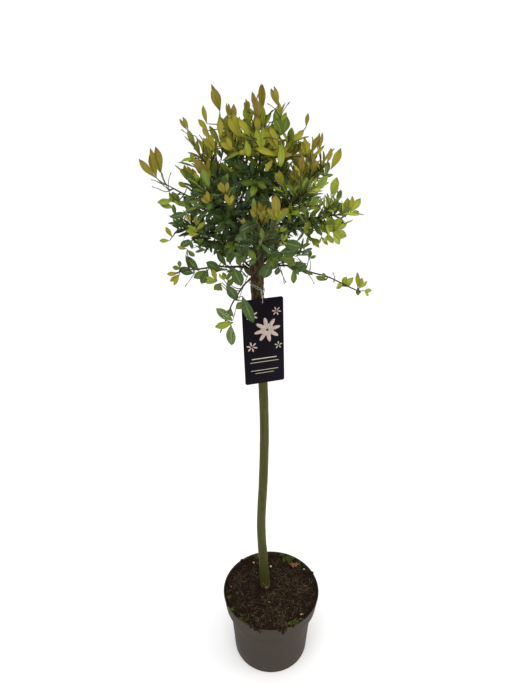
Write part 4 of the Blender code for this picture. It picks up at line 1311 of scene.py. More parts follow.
def point_at_height(rows, height):
    for (lower, _), (upper, _) in zip(rows, rows[1:]):
        if lower.z <= height <= upper.z:
            return lower.lerp(upper, (height - lower.z) / (upper.z - lower.z))
    return rows[-1][0].copy()


class Line:
    """The bent line that a shoot follows, from its root on the parent's own line to its tip."""

    def __init__(self, shoot, root):
        self.shoot = shoot
        self.root = root
        self.tip = CROWN_AXIS + outward(math.radians(shoot.bearing)) * shoot.reach
        self.tip.z = shoot.height
        self.tip += TIP_SAG.get(shoot.name, Vector())
        sideways = self.tip - root
        sideways.z = 0
        self.knee = root + sideways * SHOOT_BEND + UP * shoot.lift
        self.entry = BOUGH_SHARE
        self.phase = any_angle(random.Random(f"{SEED} {shoot.name}"))

    def even(self, t):
        return bend(self.root, self.knee, self.tip, t)

    def at(self, t):
        """The even bend with the small kinks of real growth, none at either end."""
        sway = STEM_WANDER * math.sin(math.pi * min(max(t, 0.0), 1.0))
        wave = self.phase + 11.0 * t
        kink = Vector((math.sin(wave), math.cos(1.3 * wave), math.sin(1.7 * wave)))
        return self.even(t) + kink * sway

    def heading(self, t):
        return (self.at(min(t + 0.02, 1.0)) - self.at(max(t - 0.02, 0.0))).normalized()

    def radius(self, t):
        return self.shoot.root_radius * (1 - t) + SHOOT_TIP_RADIUS * t

    def length(self):
        points = [self.even(t) for t in shares(20)]
        return sum((b - a).length for a, b in zip(points, points[1:]))


def lay_out_shoots(trunk):
    lines = {}
    for shoot in SHOOTS:
        if shoot.parent == "trunk":
            root = point_at_height(trunk, shoot.at)
        else:
            root = lines[shoot.parent].even(shoot.at)
        lines[shoot.name] = Line(shoot, root)
    for name, line in lines.items():
        forks = [shoot.at for shoot in SHOOTS if shoot.parent == name]
        line.entry = max([BOUGH_SHARE] + [fork + BOUGH_PAST_FORK for fork in forks])
    return lines


# Scars of rubbed-off buds: height and bearing on the trunk in degrees
BUD_SCARS = ((0.205, 250), (0.262, 300), (0.318, 215), (0.366, 285), (0.402, 240), (0.452, 320),
             (0.498, 262), (0.541, 200), (0.586, 290), (0.618, 245), (0.290, 80), (0.430, 110),
             (0.560, 60), (0.240, 160), (0.655, 150))
SCAR_SIZE = 0.0042


def raise_scars(piece, trunk):
    """Low bumps where buds were rubbed off, weighed in an attribute that their colour reads."""
    marks = piece.data.attributes.new("scar", "FLOAT", "POINT")
    for height, degrees in BUD_SCARS:
        out = outward(math.radians(degrees))
        middle = point_at_height(trunk, height) + out * 0.008
        for corner in piece.data.vertices:
            offset = corner.co - middle
            offset.z *= 1.7
            if offset.length < SCAR_SIZE:
                rise = math.cos(0.5 * math.pi * offset.length / SCAR_SIZE)
                marks.data[corner.index].value = rise
                corner.co += out * (0.0010 * rise)


def make_trunk(trunk):
    """The stem and its rough head: a disc drawn up ring by ring, then given its bark's relief."""
    piece = open_primitive("trunk", bpy.ops.mesh.primitive_circle_add, vertices=TRUNK_SIDES,
                           radius=trunk[0][1], fill_type="NGON", location=trunk[0][0])
    draw_on(trunk)
    bpy.ops.mesh.inset(thickness=0.0025)
    bpy.ops.transform.translate(value=(0, 0, 0.0015))
    close_piece(turn_outwards=True)
    raise_scars(piece, trunk)
    weigh(piece, "head", lambda place: (place.z - HEAD_FOOT) / 0.03)
    weigh(piece, "stem", lambda place: TRUNK_FOOT + 0.002 < place.z < HEAD_FOOT + 0.03)
    roughen(piece, 0.018, 0.0007, "stem")
    roughen(piece, 0.011, 0.0028, "head")
    roughen(piece, 0.0032, 0.0016, "head", depth=3)
    smooth(piece, 80)
    settle(piece, "stem_bark", stem_bark(), "trunk")


def make_limbs(lines, finish):
    """The boughs and the leafy stems beyond them, whole from the trunk to each tip."""
    rows = []
    for line in lines.values():
        steps = shares(STEM_POINTS - 1)
        radii = [line.radius(t) * (1.0 + 0.10 * math.sin(37 * t + line.phase)) for t in steps]
        radii[0] *= 1.25
        rows.append(([line.at(t) for t in steps], radii))
    limbs = tubes("limbs", rows, sides=8)
    apply_modifier(limbs, "SUBSURF", levels=1, render_levels=1)
    roughen(limbs, 0.0045, 0.0007)
    settle(limbs, "bough_bark", finish, *[f"bough_{name}" for name in lines])


# -------------------- growth


def stem_tree(lines):
    """A search tree of points close together along the leafy stems of these lines."""
    points = [line.even(line.entry + (1 - line.entry) * t) for line in lines for t in shares(30)]
    tree = KDTree(len(points))
    for number, point in enumerate(points):
        tree.insert(point, number)
    tree.balance()
    return tree


def label_point(across, up, out):
    """A point given on the label: across and up from its middle, and out from its face."""
    return LABEL_CENTRE + LABEL_TURN.to_matrix() @ Vector((across, -out, up))


class Crown:
    """All that grows: the room it has, its twigs, its leaves, and what was placed already."""

    def __init__(self, lines, trunk):
        self.lines = lines
        self.own = {name: stem_tree([line]) for name, line in lines.items()}
        self.others = {
            name: stem_tree([other for other in lines.values() if other is not line])
            for name, line in lines.items()}
        self.blades, self.twigs, self.stalks = [], [], []
        self.cells = {}
        segments = [(a, b, max(r, s)) for (a, r), (b, s) in zip(trunk[::6], trunk[6::6])]
        for line in lines.values():
            points = [line.at(t) for t in shares(10)]
            segments += [(points[k], points[k + 1], line.radius(k / 10)) for k in range(10)]
        edge = LABEL_HEIGHT / 2
        for share in shares(4):
            across = LABEL_WIDTH * (share - 0.5)
            segments.append((label_point(across, -edge, 0.003), label_point(across, edge, 0.003),
                             0.009))
        self.starts = np.array([start for start, _, _ in segments])
        self.runs = np.array([end - start for start, end, _ in segments])
        self.squares = (self.runs ** 2).sum(1)
        self.radii = np.array([radius for *_, radius in segments])

    @staticmethod
    def cell(place):
        return tuple(int(value // LEAF_SPACING) for value in place)

    def clear_of_limbs(self, points):
        offsets = np.array(points)[:, None, :] - self.starts[None]
        along = np.clip((offsets * self.runs).sum(2) / self.squares, 0.0, 1.0)
        gaps = np.linalg.norm(offsets - along[..., None] * self.runs, axis=2) - self.radii
        return gaps.min() > LEAF_CLEARANCE

    def in_room(self, name, points):
        """Whether points keep to their shoot's reach and mix only a little with the next's."""
        for point in points:
            near = self.own[name].find(point)[2]
            if near > MASS_RADIUS or self.others[name].find(point)[2] < near - NEIGHBOUR_REACH:
                return False
        return True

    def crowded(self, middle):
        cell = self.cell(middle)
        for step in product((-1, 0, 1), repeat=3):
            near = self.cells.get(tuple(a + b for a, b in zip(cell, step)), ())
            if any((other - middle).length < LEAF_SPACING for other in near):
                return True
        return False

    def set_blade(self, blade):
        self.cells.setdefault(self.cell(blade.middle()), []).append(blade.middle())
        self.blades.append(blade)

    def fits(self, name, blade, outline):
        middle = blade.middle()
        if self.crowded(middle) or before_trunk(middle):
            return False
        if name not in THIN_SHOOTS and share_out(middle) > outline:
            return False
        along = blade.along.normalized()
        across = along.cross(blade.normal).normalized() * (blade.width / 2)
        samples = [blade.root + along * (blade.length * share) + across * side
                   for share in (0.3, 0.55, 0.8, 1.0) for side in (-0.8, 0.0, 0.8)]
        return self.in_room(name, samples[4::3]) and self.clear_of_limbs(samples)

    def grow_blade(self, name, base, heading, turn, spread, size, tint, rng):
        """Sets one leaf, after a few tries at other turns and lesser sizes where it doesn't fit."""
        outline = 1.0 - OUTLINE_FUZZ * 0.8 + rng.gauss(0.0, OUTLINE_FUZZ)
        for attempt in range(LEAF_TRIES):
            side = side_of(heading, turn + rng.uniform(-0.4, 0.4) * attempt)
            rise = LEAF_RISE + SUN_RISE * max(base.z - SUN_FOOT, 0.0)
            along = (heading + side * (spread * rng.uniform(0.6, 1.3)) + UP * rise).normalized()
            normal = heading * 0.9 - side * 0.5 + UP * 0.7 + jitter(rng, 0.55)
            shape = "young" if tint in YOUNG_TINTS else rng.choice(GROWN_SHAPES)
            width = LEAF_WIDTH * size * rng.uniform(0.90, 1.30)
            blade = Blade(base, along, normal, LEAF_LENGTH * size, width, shape, tint)
            if self.fits(name, blade, outline):
                self.set_blade(blade)
                return True
            size *= LEAF_SHRINKING
        return False


def share_out(place):
    """How far out a place is: 0 in the crown's middle, 1 on its leafy outline."""
    out = place - CROWN_MIDDLE
    out.x -= CROWN_LEAN * out.z
    tall = CROWN_RISE if out.z > 0 else CROWN_DROP
    parts = (out.x / CROWN_HALF_WIDTH, out.y / CROWN_HALF_DEPTH, out.z / tall)
    return sum(abs(part) ** OUTLINE_POWER for part in parts) ** (1 / OUTLINE_POWER)


def before_trunk(place):
    """Whether a place is in the gap in front of the bare trunk."""
    return (place.y < CROWN_AXIS.y and abs(place.x - CROWN_AXIS.x) < GAP_HALF_WIDTH
            and place.z + GAP_SLOPE * place.y < GAP_TOP)


def share_up(height):
    """0 up to where the leaves are in the shade, and 1 where they are in full sun."""
    return min(max((height - SHADE_HEIGHT) / SUN_DEPTH, 0.0), 1.0)


def painted_sun_and_youth(place, rng):
    """How sunlit and young the leaves at a place are: 0 deep inside and low, 1 at the top. The tints
    dealt out by it are partly the leaves' own colours, young at the top, and partly painted light
    and shade: dark deep inside and low down, bright at the top and on the right.
    """
    level = share_up(place.z + 0.5 * min(place.y - CROWN_AXIS.y, 0.0))
    sideways = 0.9 * (place.x - CROWN_AXIS.x)
    return 0.75 * level + 0.30 * share_out(place) + sideways + rng.uniform(-0.12, 0.12)


# How the tints are dealt out, darker with less sun so that they paint the shade inside the crown and
# the light on its top besides the leaves' own colours: least sun, choices for a twig's lower leaves,
# choices for its tip
SPRAY_TINTS = (
    (0.80, ("lime", "olive", "lime", "olive", "olive"), ("olive", "bronze", "bronze", "olive")),
    (0.62, ("green", "green", "lime", "dark"), ("olive", "lime", "green", "bronze")),
    (0.46, ("dark", "green", "dark"), ("green", "green", "lime", "dark")),
    (-9.0, ("dark",), ("dark", "dark", "green")),
)
# On the crown's bright right side
RIGHT_SIDE = 0.045
RIGHT_TINTS = (("green", "fresh"), ("fresh", "fresh"), ("green", "lime"))


def spray_tints(place, rng):
    """The tint of a twig's lower leaves and of its tip: darker deep inside and low down as painted
    shade, brighter at the top as painted light.
    """
    sun = painted_sun_and_youth(place, rng)
    if place.x > RIGHT_SIDE and 0.36 < sun < 0.85:
        return rng.choice(RIGHT_TINTS)
    for least, low, tip in SPRAY_TINTS:
        if sun > least:
            return rng.choice(low), rng.choice(tip)


def curved_line(start, along, length, rise, steps=6):
    """Points of a twig that sets off along and turns up towards the light."""
    end = start + along * length + UP * (length * rise)
    knee = start + along * (length * 0.55) - UP * (length * rise * 0.25)
    return [bend(start, knee, end, t) for t in shares(steps)]


def along_line(points, share):
    """The point and the heading at this share of a line of points."""
    place = min(max(share, 0.0), 1.0) * (len(points) - 1)
    step = min(int(place), len(points) - 2)
    return (points[step].lerp(points[step + 1], place - step),
            (points[step + 1] - points[step]).normalized())


LEAST_LEAF = 0.53           # as a share of LEAF_LENGTH


def leaf_size(place):
    """Leaves are small inside and below, and larger where the sun is."""
    return LEAST_LEAF + 0.29 * share_up(place.z) ** 1.4 + 0.18 * min(share_out(place), 1.0)


def leaf_up_twig(crown, name, points, length, first, tip_leaves, rng):
    """Pairs of leaves up a twig, each pair square to the last, and a tuft at its tip."""
    low_tint, tip_tint = spray_tints(points[-1], rng)
    turn = rng.uniform(0, math.pi)
    place, grown = first, 0
    while place < length - 0.5 * LEAF_GAP:
        share = place / length
        base, heading = along_line(points, share)
        tint = tip_tint if share > 0.72 else low_tint
        size = leaf_size(base) * (1.06 - 0.26 * share) * rng.uniform(0.82, 1.10)
        for half_turn in (0, math.pi):
            grown += crown.grow_blade(name, base, heading, turn + half_turn, 0.95, size, tint, rng)
        turn += math.pi / 2 + rng.uniform(-0.2, 0.2)
        place += LEAF_GAP * rng.uniform(0.85, 1.2)
    base, heading = along_line(points, 1.0)
    for number in range(tip_leaves):
        grown += crown.grow_blade(name, base, heading, turn + FULL_TURN * number / tip_leaves, 0.38,
                                  leaf_size(base) * rng.uniform(0.70, 1.0), tip_tint, rng)
    return grown


def grow_twig(crown, line, name, place, span, turn, rng):
    t = line.entry + (1 - line.entry) * place / span
    base, heading = line.at(t), line.heading(t)
    lean = FIRST_TWIG_LEAN + (LAST_TWIG_LEAN - FIRST_TWIG_LEAN) * place / span
    length = TWIG_LENGTH * (1 - TWIG_SHORTENING * place / span) * rng.uniform(0.72, 1.15)
    for attempt in range(TWIG_TRIES):
        side = side_of(heading, turn + rng.uniform(-0.3, 0.3) * attempt)
        along = (heading * lean + side * 0.9 + UP * 0.2).normalized()
        points = curved_line(base, along, length, 0.16)
        bounded = name not in THIN_SHOOTS or points[-1].z > LOW_SPRAYS_TOP
        outside = bounded and share_out(points[-1]) > 1.0
        if not outside and crown.in_room(name, points[3:]) and crown.clear_of_limbs(points[3:]):
            break
        length *= 0.88
    else:
        return
    grown = leaf_up_twig(crown, name, points, length, 0.8 * LEAF_GAP, rng.choice((2, 3, 3)), rng)
    if not grown:
        return
    crown.twigs.append((points, taper(len(points), TWIG_RADIUS, TWIG_TIP_RADIUS)))
    if length > LONG_TWIG and rng.random() < SIDE_TWIG_SHARE:
        fork, heading = along_line(points, rng.uniform(0.35, 0.65))
        side = side_of(heading, any_angle(rng))
        side_length = rng.uniform(*SIDE_TWIG_LENGTHS)
        side_points = curved_line(fork, (heading * 0.7 + side).normalized(), side_length, 0.2, 4)
        if crown.in_room(name, side_points[2:]) and crown.clear_of_limbs(side_points[2:]):
            if leaf_up_twig(crown, name, side_points, side_length, 0.8 * LEAF_GAP, 3, rng):
                crown.stalks.append((side_points, taper(5, 0.0007, 0.00045)))


def grow_shoot(crown, name, line):
    """Twigs along the stem by the golden angle, then leaves on the stem's own bare lengths."""
    rng = random.Random(f"{SEED} {name}")
    span = line.length() * (1 - line.entry)
    if name not in THIN_SHOOTS:
        tip_line = [line.at(0.75 + 0.25 * share) for share in shares(4)]
        leaf_up_twig(crown, name, tip_line, 0.25 * line.length(), 0.5 * LEAF_GAP, 3, rng)
    place, turn = FIRST_TWIG, any_angle(rng)
    gap = TWIG_GAP * CLOSE_SHOOTS.get(name, 1.0)
    while place < span - 0.8 * gap:
        if rng.random() < THIN_SHOOTS.get(name, 1.0):
            grow_twig(crown, line, name, place, span, turn, rng)
        turn += TURN_PER_TWIG
        place += gap
    place = FIRST_TWIG + TWIG_GAP / 2
    while place < 0.8 * span:
        t = line.entry + (1 - line.entry) * place / span
        base, heading = line.at(t), line.heading(t)
        tint = spray_tints(base, rng)[0]
        for half_turn in (0, math.pi):
            if rng.random() < THIN_SHOOTS.get(name, 1.0):
                crown.grow_blade(name, base, heading, turn + half_turn, 1.1,
                                 leaf_size(base) * rng.uniform(0.8, 1.05), tint, rng)
        turn += TURN_PER_TWIG
        place += 1.5 * TWIG_GAP


def nearest_stem_point(crown, place):
    """The point and heading of the leafy stems nearest to place, a little back down its shoot."""
    def gap(spot):
        point = spot[0]
        return (point - place).length + 0.6 * max(0.0, point.z - place.z)

    spots = []
    for line in crown.lines.values():
        for share in shares(23):
            t = line.entry + (0.98 - line.entry) * share
            spots.append((line.at(t), line.heading(t)))
    return min(spots, key=gap)


def place_tuft(crown, tuft, rng):
    """A placed tuft: a wiry stalk from the nearest stem, and a fan of leaves at its end."""
    root = Vector((tuft.x, tuft.y, tuft.z)) * MM
    ahead = Vector((tuft.tip_x - tuft.x, rng.uniform(-3, 3), tuft.tip_z - tuft.z)) * MM
    length = ahead.length
    ahead.normalize()
    start, heading = nearest_stem_point(crown, root)
    run = (root - start).length
    knee = start.lerp(root, 0.5) + heading * (0.16 * run) - ahead * (0.16 * run)
    stalk = [bend(start, knee, root, t) for t in shares(8)]
    crown.stalks.append((stalk, taper(9, 0.0009, TUFT_STALK_RADIUS)))
    sideways = Vector((0, 1, 0)).cross(ahead).normalized()
    away = (root - CROWN_MIDDLE).normalized()
    shape = "adult" if tuft.tint in ("dark", "variegated") else "young"
    # How wide a leaf is against the table's width, and at most against its own length
    widening, widest = (1.05, 0.40) if tuft.tint in YOUNG_TINTS else (1.22, 0.56)
    shrink = 0.22 if tuft.leaves > 2 else 0.05
    for number in range(tuft.leaves):
        share = 0 if tuft.leaves == 1 else 2 * number / (tuft.leaves - 1) - 1
        depth = Vector((0, rng.uniform(-0.35, 0.35), 0)) * min(1.0, 2 * tuft.fan + 0.3)
        along = (ahead + sideways * (tuft.fan * share) + depth).normalized()
        size = length * (1.0 - shrink * abs(share)) * rng.uniform(0.96, 1.03)
        facing = Vector((0.8 * share + rng.uniform(-0.4, 0.4), -1.0, 0.25)) + away * 0.2
        width = min(LEAF_WIDTH * tuft.width * widening, widest * size)
        crown.set_blade(Blade(root, along, facing, size, width, shape, tuft.tint))


# Sprays like the placed ones, by rule, all round the crown's back and sides
RULED_TUFTS = 40
RULED_STALKS = (0.020, 0.034)
RULED_LEAVES = (0.020, 0.028)
BRONZE_HEIGHT = 0.930       # above this they are all bronze
BESIDE_PLACED = 0.035       # depth in which the placed tufts are enough
BARE_STUBS = 18
STUB_LENGTHS = (0.020, 0.036)


def full_shoots(crown):
    """The names of the shoots that aren't thinly leaved."""
    return sorted(set(crown.lines) - set(THIN_SHOOTS))


def place_wires(crown):
    """The placed bare stalks, each joined to the nearest stem and thickened at its bud."""
    for depth, places in WIRES:
        points = [Vector((x, depth, z)) * MM for x, z in places]
        start, _ = nearest_stem_point(crown, points[0])
        if (start - points[0]).length > 0.002:
            points.insert(0, start)
        points = [Vector(row) for row in spline_through(points, 14)]
        radii = taper(14, WIRE_RADIUS, 0.5 * WIRE_RADIUS)
        radii[-2] = WIRE_RADIUS
        crown.stalks.append((points, radii))


def place_ruled_tufts(crown):
    """Young tufts that stand clear of the crown on the sides that the placed ones don't fill."""
    rng = random.Random(SEED + 20)
    names = full_shoots(crown)
    made = 0
    while made < RULED_TUFTS:
        base = crown.lines[rng.choice(names)].at(rng.uniform(0.55, 0.98))
        depth = base.y - CROWN_AXIS.y
        if abs(depth) < BESIDE_PLACED or (depth < 0 and rng.random() < 0.65):
            continue
        out = base - CROWN_MIDDLE
        out.z = max(out.z, 0.0) * 0.6
        along = (out.normalized() * 0.8 + UP * 1.1 + jitter(rng, 0.4)).normalized()
        stalk = curved_line(base, along, rng.uniform(*RULED_STALKS), 0.25)
        root, heading = stalk[-1], (stalk[-1] - stalk[-2]).normalized()
        size = rng.uniform(*RULED_LEAVES)
        top = root + heading * size
        if not inside_reach(top) or not crown.clear_of_limbs(stalk[3:]):
            continue
        tint = "bronze"
        if top.z <= BRONZE_HEIGHT and rng.random() >= 0.5:
            tint = rng.choice(("olive", "fresh"))
        crown.stalks.append((stalk, taper(len(stalk), 0.0008, 0.0005)))
        count = rng.choice((1, 2, 2, 3, 4))
        turn = rng.uniform(0, math.pi)
        for number in range(count):
            side = side_of(heading, turn + FULL_TURN * number / count)
            crown.set_blade(Blade(
                root, (heading + side * 0.28).normalized(), -side + UP * 0.3,
                size * rng.uniform(0.8, 1.05), LEAF_WIDTH * rng.uniform(0.75, 1.0), "young", tint))
        made += 1


def place_bare_stubs(crown):
    """Short wiry stubs with a bud at the end, where leaves have dropped."""
    rng = random.Random(SEED + 21)
    names = full_shoots(crown)
    made = 0
    while made < BARE_STUBS:
        line = crown.lines[rng.choice(names)]
        t = rng.uniform(0.6, 0.97)
        heading = line.heading(t)
        along = (heading * 0.5 + side_of(heading, any_angle(rng)) + UP * 0.3).normalized()
        points = curved_line(line.at(t), along, rng.uniform(*STUB_LENGTHS), rng.uniform(-0.1, 0.3))
        if inside_reach(points[-1]) and crown.clear_of_limbs(points[3:]):
            crown.stalks.append((points, taper(5, 0.0007, 0.0005) + [0.0009, 0.0005]))
            made += 1


def inside_reach(place):
    """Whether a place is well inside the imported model's box."""
    low, high = cad_box
    return all(low[axis] + MM < place[axis] < high[axis] - MM for axis in range(3))


def make_leaves(crown, finishes, foliage_nodes):
    """One joined piece for each tint."""
    models = leaf_models()
    for tint in TINTS:
        parts = []
        for shape, model in models.items():
            places = [b.matrix() for b in crown.blades if (b.tint, b.shape) == (tint, shape)]
            if places:
                parts.append(joined_copies(f"{tint}_{shape}", model, places))
        settle(join(f"leaves_{tint}", *parts), "leaves", finishes[tint], *foliage_nodes)
    remove(*models.values())


def make_foliage(lines, trunk, finishes):
    crown = Crown(lines, trunk)
    rng = random.Random(SEED + 10)
    for tuft in TUFTS:
        place_tuft(crown, tuft, rng)
    place_wires(crown)
    place_ruled_tufts(crown)
    for name, line in lines.items():
        grow_shoot(crown, name, line)
    place_bare_stubs(crown)
    make_leaves(crown, finishes, [f"foliage_{name}" for name in lines])
    settle(tubes("twigs", crown.twigs), "bough_bark",
           twig_bark("twig_bark", (0.062, 0.055, 0.018), (0.062, 0.028, 0.012), 0.6))
    settle(tubes("stalks", crown.stalks), "bough_bark",
           twig_bark("stalk_green", (0.062, 0.064, 0.018), (0.062, 0.036, 0.014), 0.5))


# -------------------- small plants on the compost

# x, y and height in mm
SEEDLINGS = ((33, 80, 10), (26, 86, 9), (40, 70, 8), (45, 76, 8), (30, 72, 7))
MOSS_REACH = 92             # mm
MOSS_CUSHIONS = (           # x, y, spread in mm, how many leaflets
    (38, -81, 7, 230), (47, -76, 5, 120), (30, -85, 4, 60), (-50, -76, 7, 60), (-60, -68, 6, 60),
    (-40, -83, 5, 30), (-76, -48, 6, 50), (38, 74, 9, 110), (56, -69, 3, 50), (60, 62, 6, 50),
    (-84, -20, 5, 40), (-30, 82, 7, 50), (84, 14, 4, 15),
)
DEAD_LEAVES = {             # x, y and length in mm, and bearing in degrees
    "rust": ((43, 55, 17, 35), (52, 60, 14, 160), (56, 66, 12, 250), (48, 52, 12, 100)),
    "pale": ((-1, 50, 9, 75), (72, 48, 9, 160)),
    "straw": ((54, -60, 8, 10), (-34, 62, 8, 120)),
}


def make_moss(ground, leaflet):
    """Cushions of bright leaflets round the rim."""
    rng = random.Random(SEED + 30)
    places = []
    for x, y, spread, count in MOSS_CUSHIONS:
        for _ in range(count):
            px, py = x + rng.gauss(0, spread / 2), y + rng.gauss(0, spread / 2)
            reach = math.hypot(px, py)
            if reach > MOSS_REACH:
                px, py = px * MOSS_REACH / reach, py * MOSS_REACH / reach
            root = ground.at(px * MM, py * MM)
            along = outward(any_angle(rng), rng.uniform(0.3, 1.6))
            normal = UP + along * 0.1 + Vector((0.1, 0.05, 0))
            size = rng.uniform(0.0016, 0.0034)
            places.append(Blade(root, along, normal, size, size * 0.4).matrix())
    settle(joined_copies("moss", leaflet, places), "compost", litter_finish("moss"))


def make_seedlings(ground, leaf):
    """Small weeds at the back of the pot: bent stalks with pairs of round leaves."""
    rng = random.Random(SEED + 31)
    places, lines = [], []
    for x, y, height in SEEDLINGS:
        root = ground.at(x * MM, y * MM)
        for _ in range(3):
            lean = Vector((rng.uniform(-0.8, 0.6), rng.uniform(-0.9, 0.1), 1.0)).normalized()
            points = curved_line(root, lean, height * MM * rng.uniform(0.6, 1.0), -0.15)
            lines.append((points, taper(len(points), 0.0005, 0.00025)))
            for share in (0.45, 0.7, 1.0):
                base, heading = along_line(points, share)
                turn = rng.uniform(0, math.pi)
                for side in (side_of(heading, turn), side_of(heading, turn + math.pi)):
                    places.append(Blade(
                        base, side + heading * 0.3, UP + heading * 0.2, rng.uniform(0.003, 0.0055),
                        rng.uniform(0.0016, 0.0024)).matrix())
    settle(joined_copies("seedling_leaves", leaf, places), "compost",
           litter_finish("seedling_leaf"))
    settle(tubes("seedling_stalks", lines, sides=4), "compost", litter_finish("seedling_stalk"))


def make_dead_leaves(ground, leaf):
    """Dropped leaves lying curled on the compost."""
    rng = random.Random(SEED + 32)
    for kind, leaves in DEAD_LEAVES.items():
        places = []
        for x, y, length, degrees in leaves:
            spot = ground.at(x * MM, y * MM) + UP * 0.0022
            along = outward(math.radians(degrees), rng.uniform(-0.1, 0.2))
            normal = Vector((rng.uniform(-0.4, 0.4), rng.uniform(-0.7, 0.1), 1.0))
            places.append(Blade(spot, along, normal, length * MM, 0.46 * length * MM).matrix())
        settle(joined_copies(f"dropped_leaves_{kind}", leaf, places), "compost",
               litter_finish(f"dead_leaf_{kind}"))


# Bearing in degrees, length and thickness in mm
SURFACE_ROOTS = ((283, 20, 1.9), (262, 12, 1.4), (244, 8, 1.3), (312, 11, 1.4), (215, 7, 1.3),
                 (170, 7, 1.3), (20, 8, 1.4), (95, 7, 1.3), (338, 7, 1.4))
BESIDE_TRUNK = 0.0125       # the height of the compost is taken here, out from the trunk's middle
INTO_TRUNK = 0.0039         # and a root starts this much further in, inside the bark


def make_root_nubs(ground, trunk):
    """Pale roots that break the surface at the trunk's foot."""
    rng = random.Random(SEED + 33)
    foot = trunk[0][0]
    lines = []
    for degrees, length, thick in SURFACE_ROOTS:
        out = outward(math.radians(degrees))
        start = ground.under(foot + out * BESIDE_TRUNK) - out * INTO_TRUNK + UP * 2.4 * thick * MM
        points = wandering_line(start, out * 0.8 - UP * 0.35, length * MM, 8, 0.18, rng)
        for number, point in enumerate(points[1:], 1):
            level = ground.under(point).z + 0.0006 - 0.0002 * number
            point.z = max(level, start.z - 0.0016 * number)
        lines.append((points, taper(len(points), thick * MM, 0.0003)))
    settle(tubes("surface_roots", lines), "stem_bark", litter_finish("root_bark"))


def make_litter(ground, peat):
    """Everything small that lies or grows on the compost."""
    make_crumbs(ground, peat)
    make_rim_clumps(peat)
    make_fibres(ground)
    make_perlite(ground)
    models = leaf_models()
    make_moss(ground, models["young"])
    make_seedlings(ground, models["adult"])
    make_dead_leaves(ground, models["bent"])
    remove(*models.values())


# -------------------- label and tie


def hang_up(piece):
    """Moves a piece modelled flat, face up at the origin, to the label's place."""
    make_active(piece)
    upright = Matrix.Rotation(math.radians(90), 4, "X")
    piece.matrix_world = Matrix.LocRotScale(LABEL_CENTRE, LABEL_TURN, None) @ upright
    bpy.ops.object.transform_apply()


def make_label():
    """The card: a plate with round corners, a punched hole and softened edges."""
    label = open_primitive("label", bpy.ops.mesh.primitive_cube_add, size=1,
                           scale=(LABEL_WIDTH, LABEL_HEIGHT, LABEL_THICKNESS))
    pick(label, lambda edge: (edge.verts[0].co - edge.verts[1].co).xy.length < 1e-6, "EDGE")
    bpy.ops.mesh.bevel(offset=LABEL_CORNER_RADIUS, segments=8, affect="EDGES")
    close_piece()
    cut_away(label, add_primitive(
        "punch", bpy.ops.mesh.primitive_cylinder_add, vertices=32, radius=LABEL_HOLE_RADIUS,
        depth=0.01, location=(0, LABEL_HOLE_HEIGHT, 0)))
    apply_modifier(label, "BEVEL", width=0.00012, segments=2, limit_method="ANGLE")
    smooth(label, 30)
    hang_up(label)
    settle(label, "label_card", label_gloss(), "label")


INK_THICKNESS = 0.00008
INKS = {                    # two tones of each
    "pink": ((0.420, 0.300, 0.270), (0.500, 0.390, 0.350)),
    "cream": ((0.400, 0.390, 0.290), (0.480, 0.460, 0.350)),
}
# Rosettes: across, up, petal length, petals, turn in degrees, ink
ROSETTES = (
    (0.006, 0.020, 0.0185, 8, 10, "pink"),
    (0.006, 0.020, 0.0095, 8, 32, "cream"),
    (-0.017, 0.046, 0.0085, 6, 0, "cream"),
    (0.021, 0.049, 0.0065, 6, 20, "pink"),
    (-0.019, -0.006, 0.0080, 6, 15, "pink"),
    (0.023, -0.008, 0.0058, 5, 0, "cream"),
)
# Plain rules: up, width, height
RULES = ((-0.0275, 0.040, 0.0016), (-0.0335, 0.046, 0.0009), (-0.0480, 0.044, 0.0010),
         (-0.0530, 0.030, 0.0008))


def model_petal():
    """A flat teardrop, its point at the origin and 1 long: a disc drawn out and pinched."""
    petal = open_primitive("petal", bpy.ops.mesh.primitive_circle_add, vertices=20, radius=0.5,
                           fill_type="NGON", location=(0, 0.5, 0))
    for along in (0.0, 0.1, 0.2, 0.3, 0.4):
        pick(petal, lambda corner, y=along: y - 0.05 <= corner.co.y < y + 0.05)
        bpy.ops.transform.resize(value=(0.25 + 1.5 * along, 1, 1), center_override=(0, along, 0))
    bpy.ops.mesh.select_mode(type="FACE")
    bpy.ops.mesh.select_all(action="SELECT")
    bpy.ops.transform.resize(value=(0.34, 1, 1), center_override=(0, 0, 0))
    bpy.ops.mesh.extrude_region_move(TRANSFORM_OT_translate={"value": (0, 0, 1)})
    close_piece(turn_outwards=True)
    return petal


def model_rule(up, width, tall, height):
    """A plain rule on the label, its edges softened."""
    rule = open_primitive(
        "rule", bpy.ops.mesh.primitive_cube_add, size=1,
        location=(0, up, height + INK_THICKNESS / 2), scale=(width, tall, INK_THICKNESS))
    bpy.ops.mesh.bevel(offset=0.00002, segments=1, affect="EDGES")
    close_piece()
    return rule


def make_print():
    """Teardrop rosettes and plain rules, printed on the label's face."""
    petal = model_petal()
    places = {ink: [] for ink in INKS}
    height = LABEL_THICKNESS / 2 - 0.00002
    for across, up, length, petals, degrees, ink in ROSETTES:
        size = Matrix.Diagonal((length, length, INK_THICKNESS, 1))
        for number in range(petals):
            spin = Matrix.Rotation(math.radians(degrees) + FULL_TURN * number / petals, 4, "Z")
            out = Matrix.Translation((0, 0.12 * length, 0))
            places[ink].append(Matrix.Translation((across, up, height)) @ spin @ out @ size)
    rules = [model_rule(*rule, height) for rule in RULES]
    pink = joined_copies("label_print_pink", petal, places["pink"])
    cream = join("label_print_cream", joined_copies("petals", petal, places["cream"]), *rules)
    remove(petal)
    for piece, ink in ((pink, "pink"), (cream, "cream")):
        hang_up(piece)
        settle(piece, "label_card", label_ink(f"ink_{ink}", *INKS[ink]))


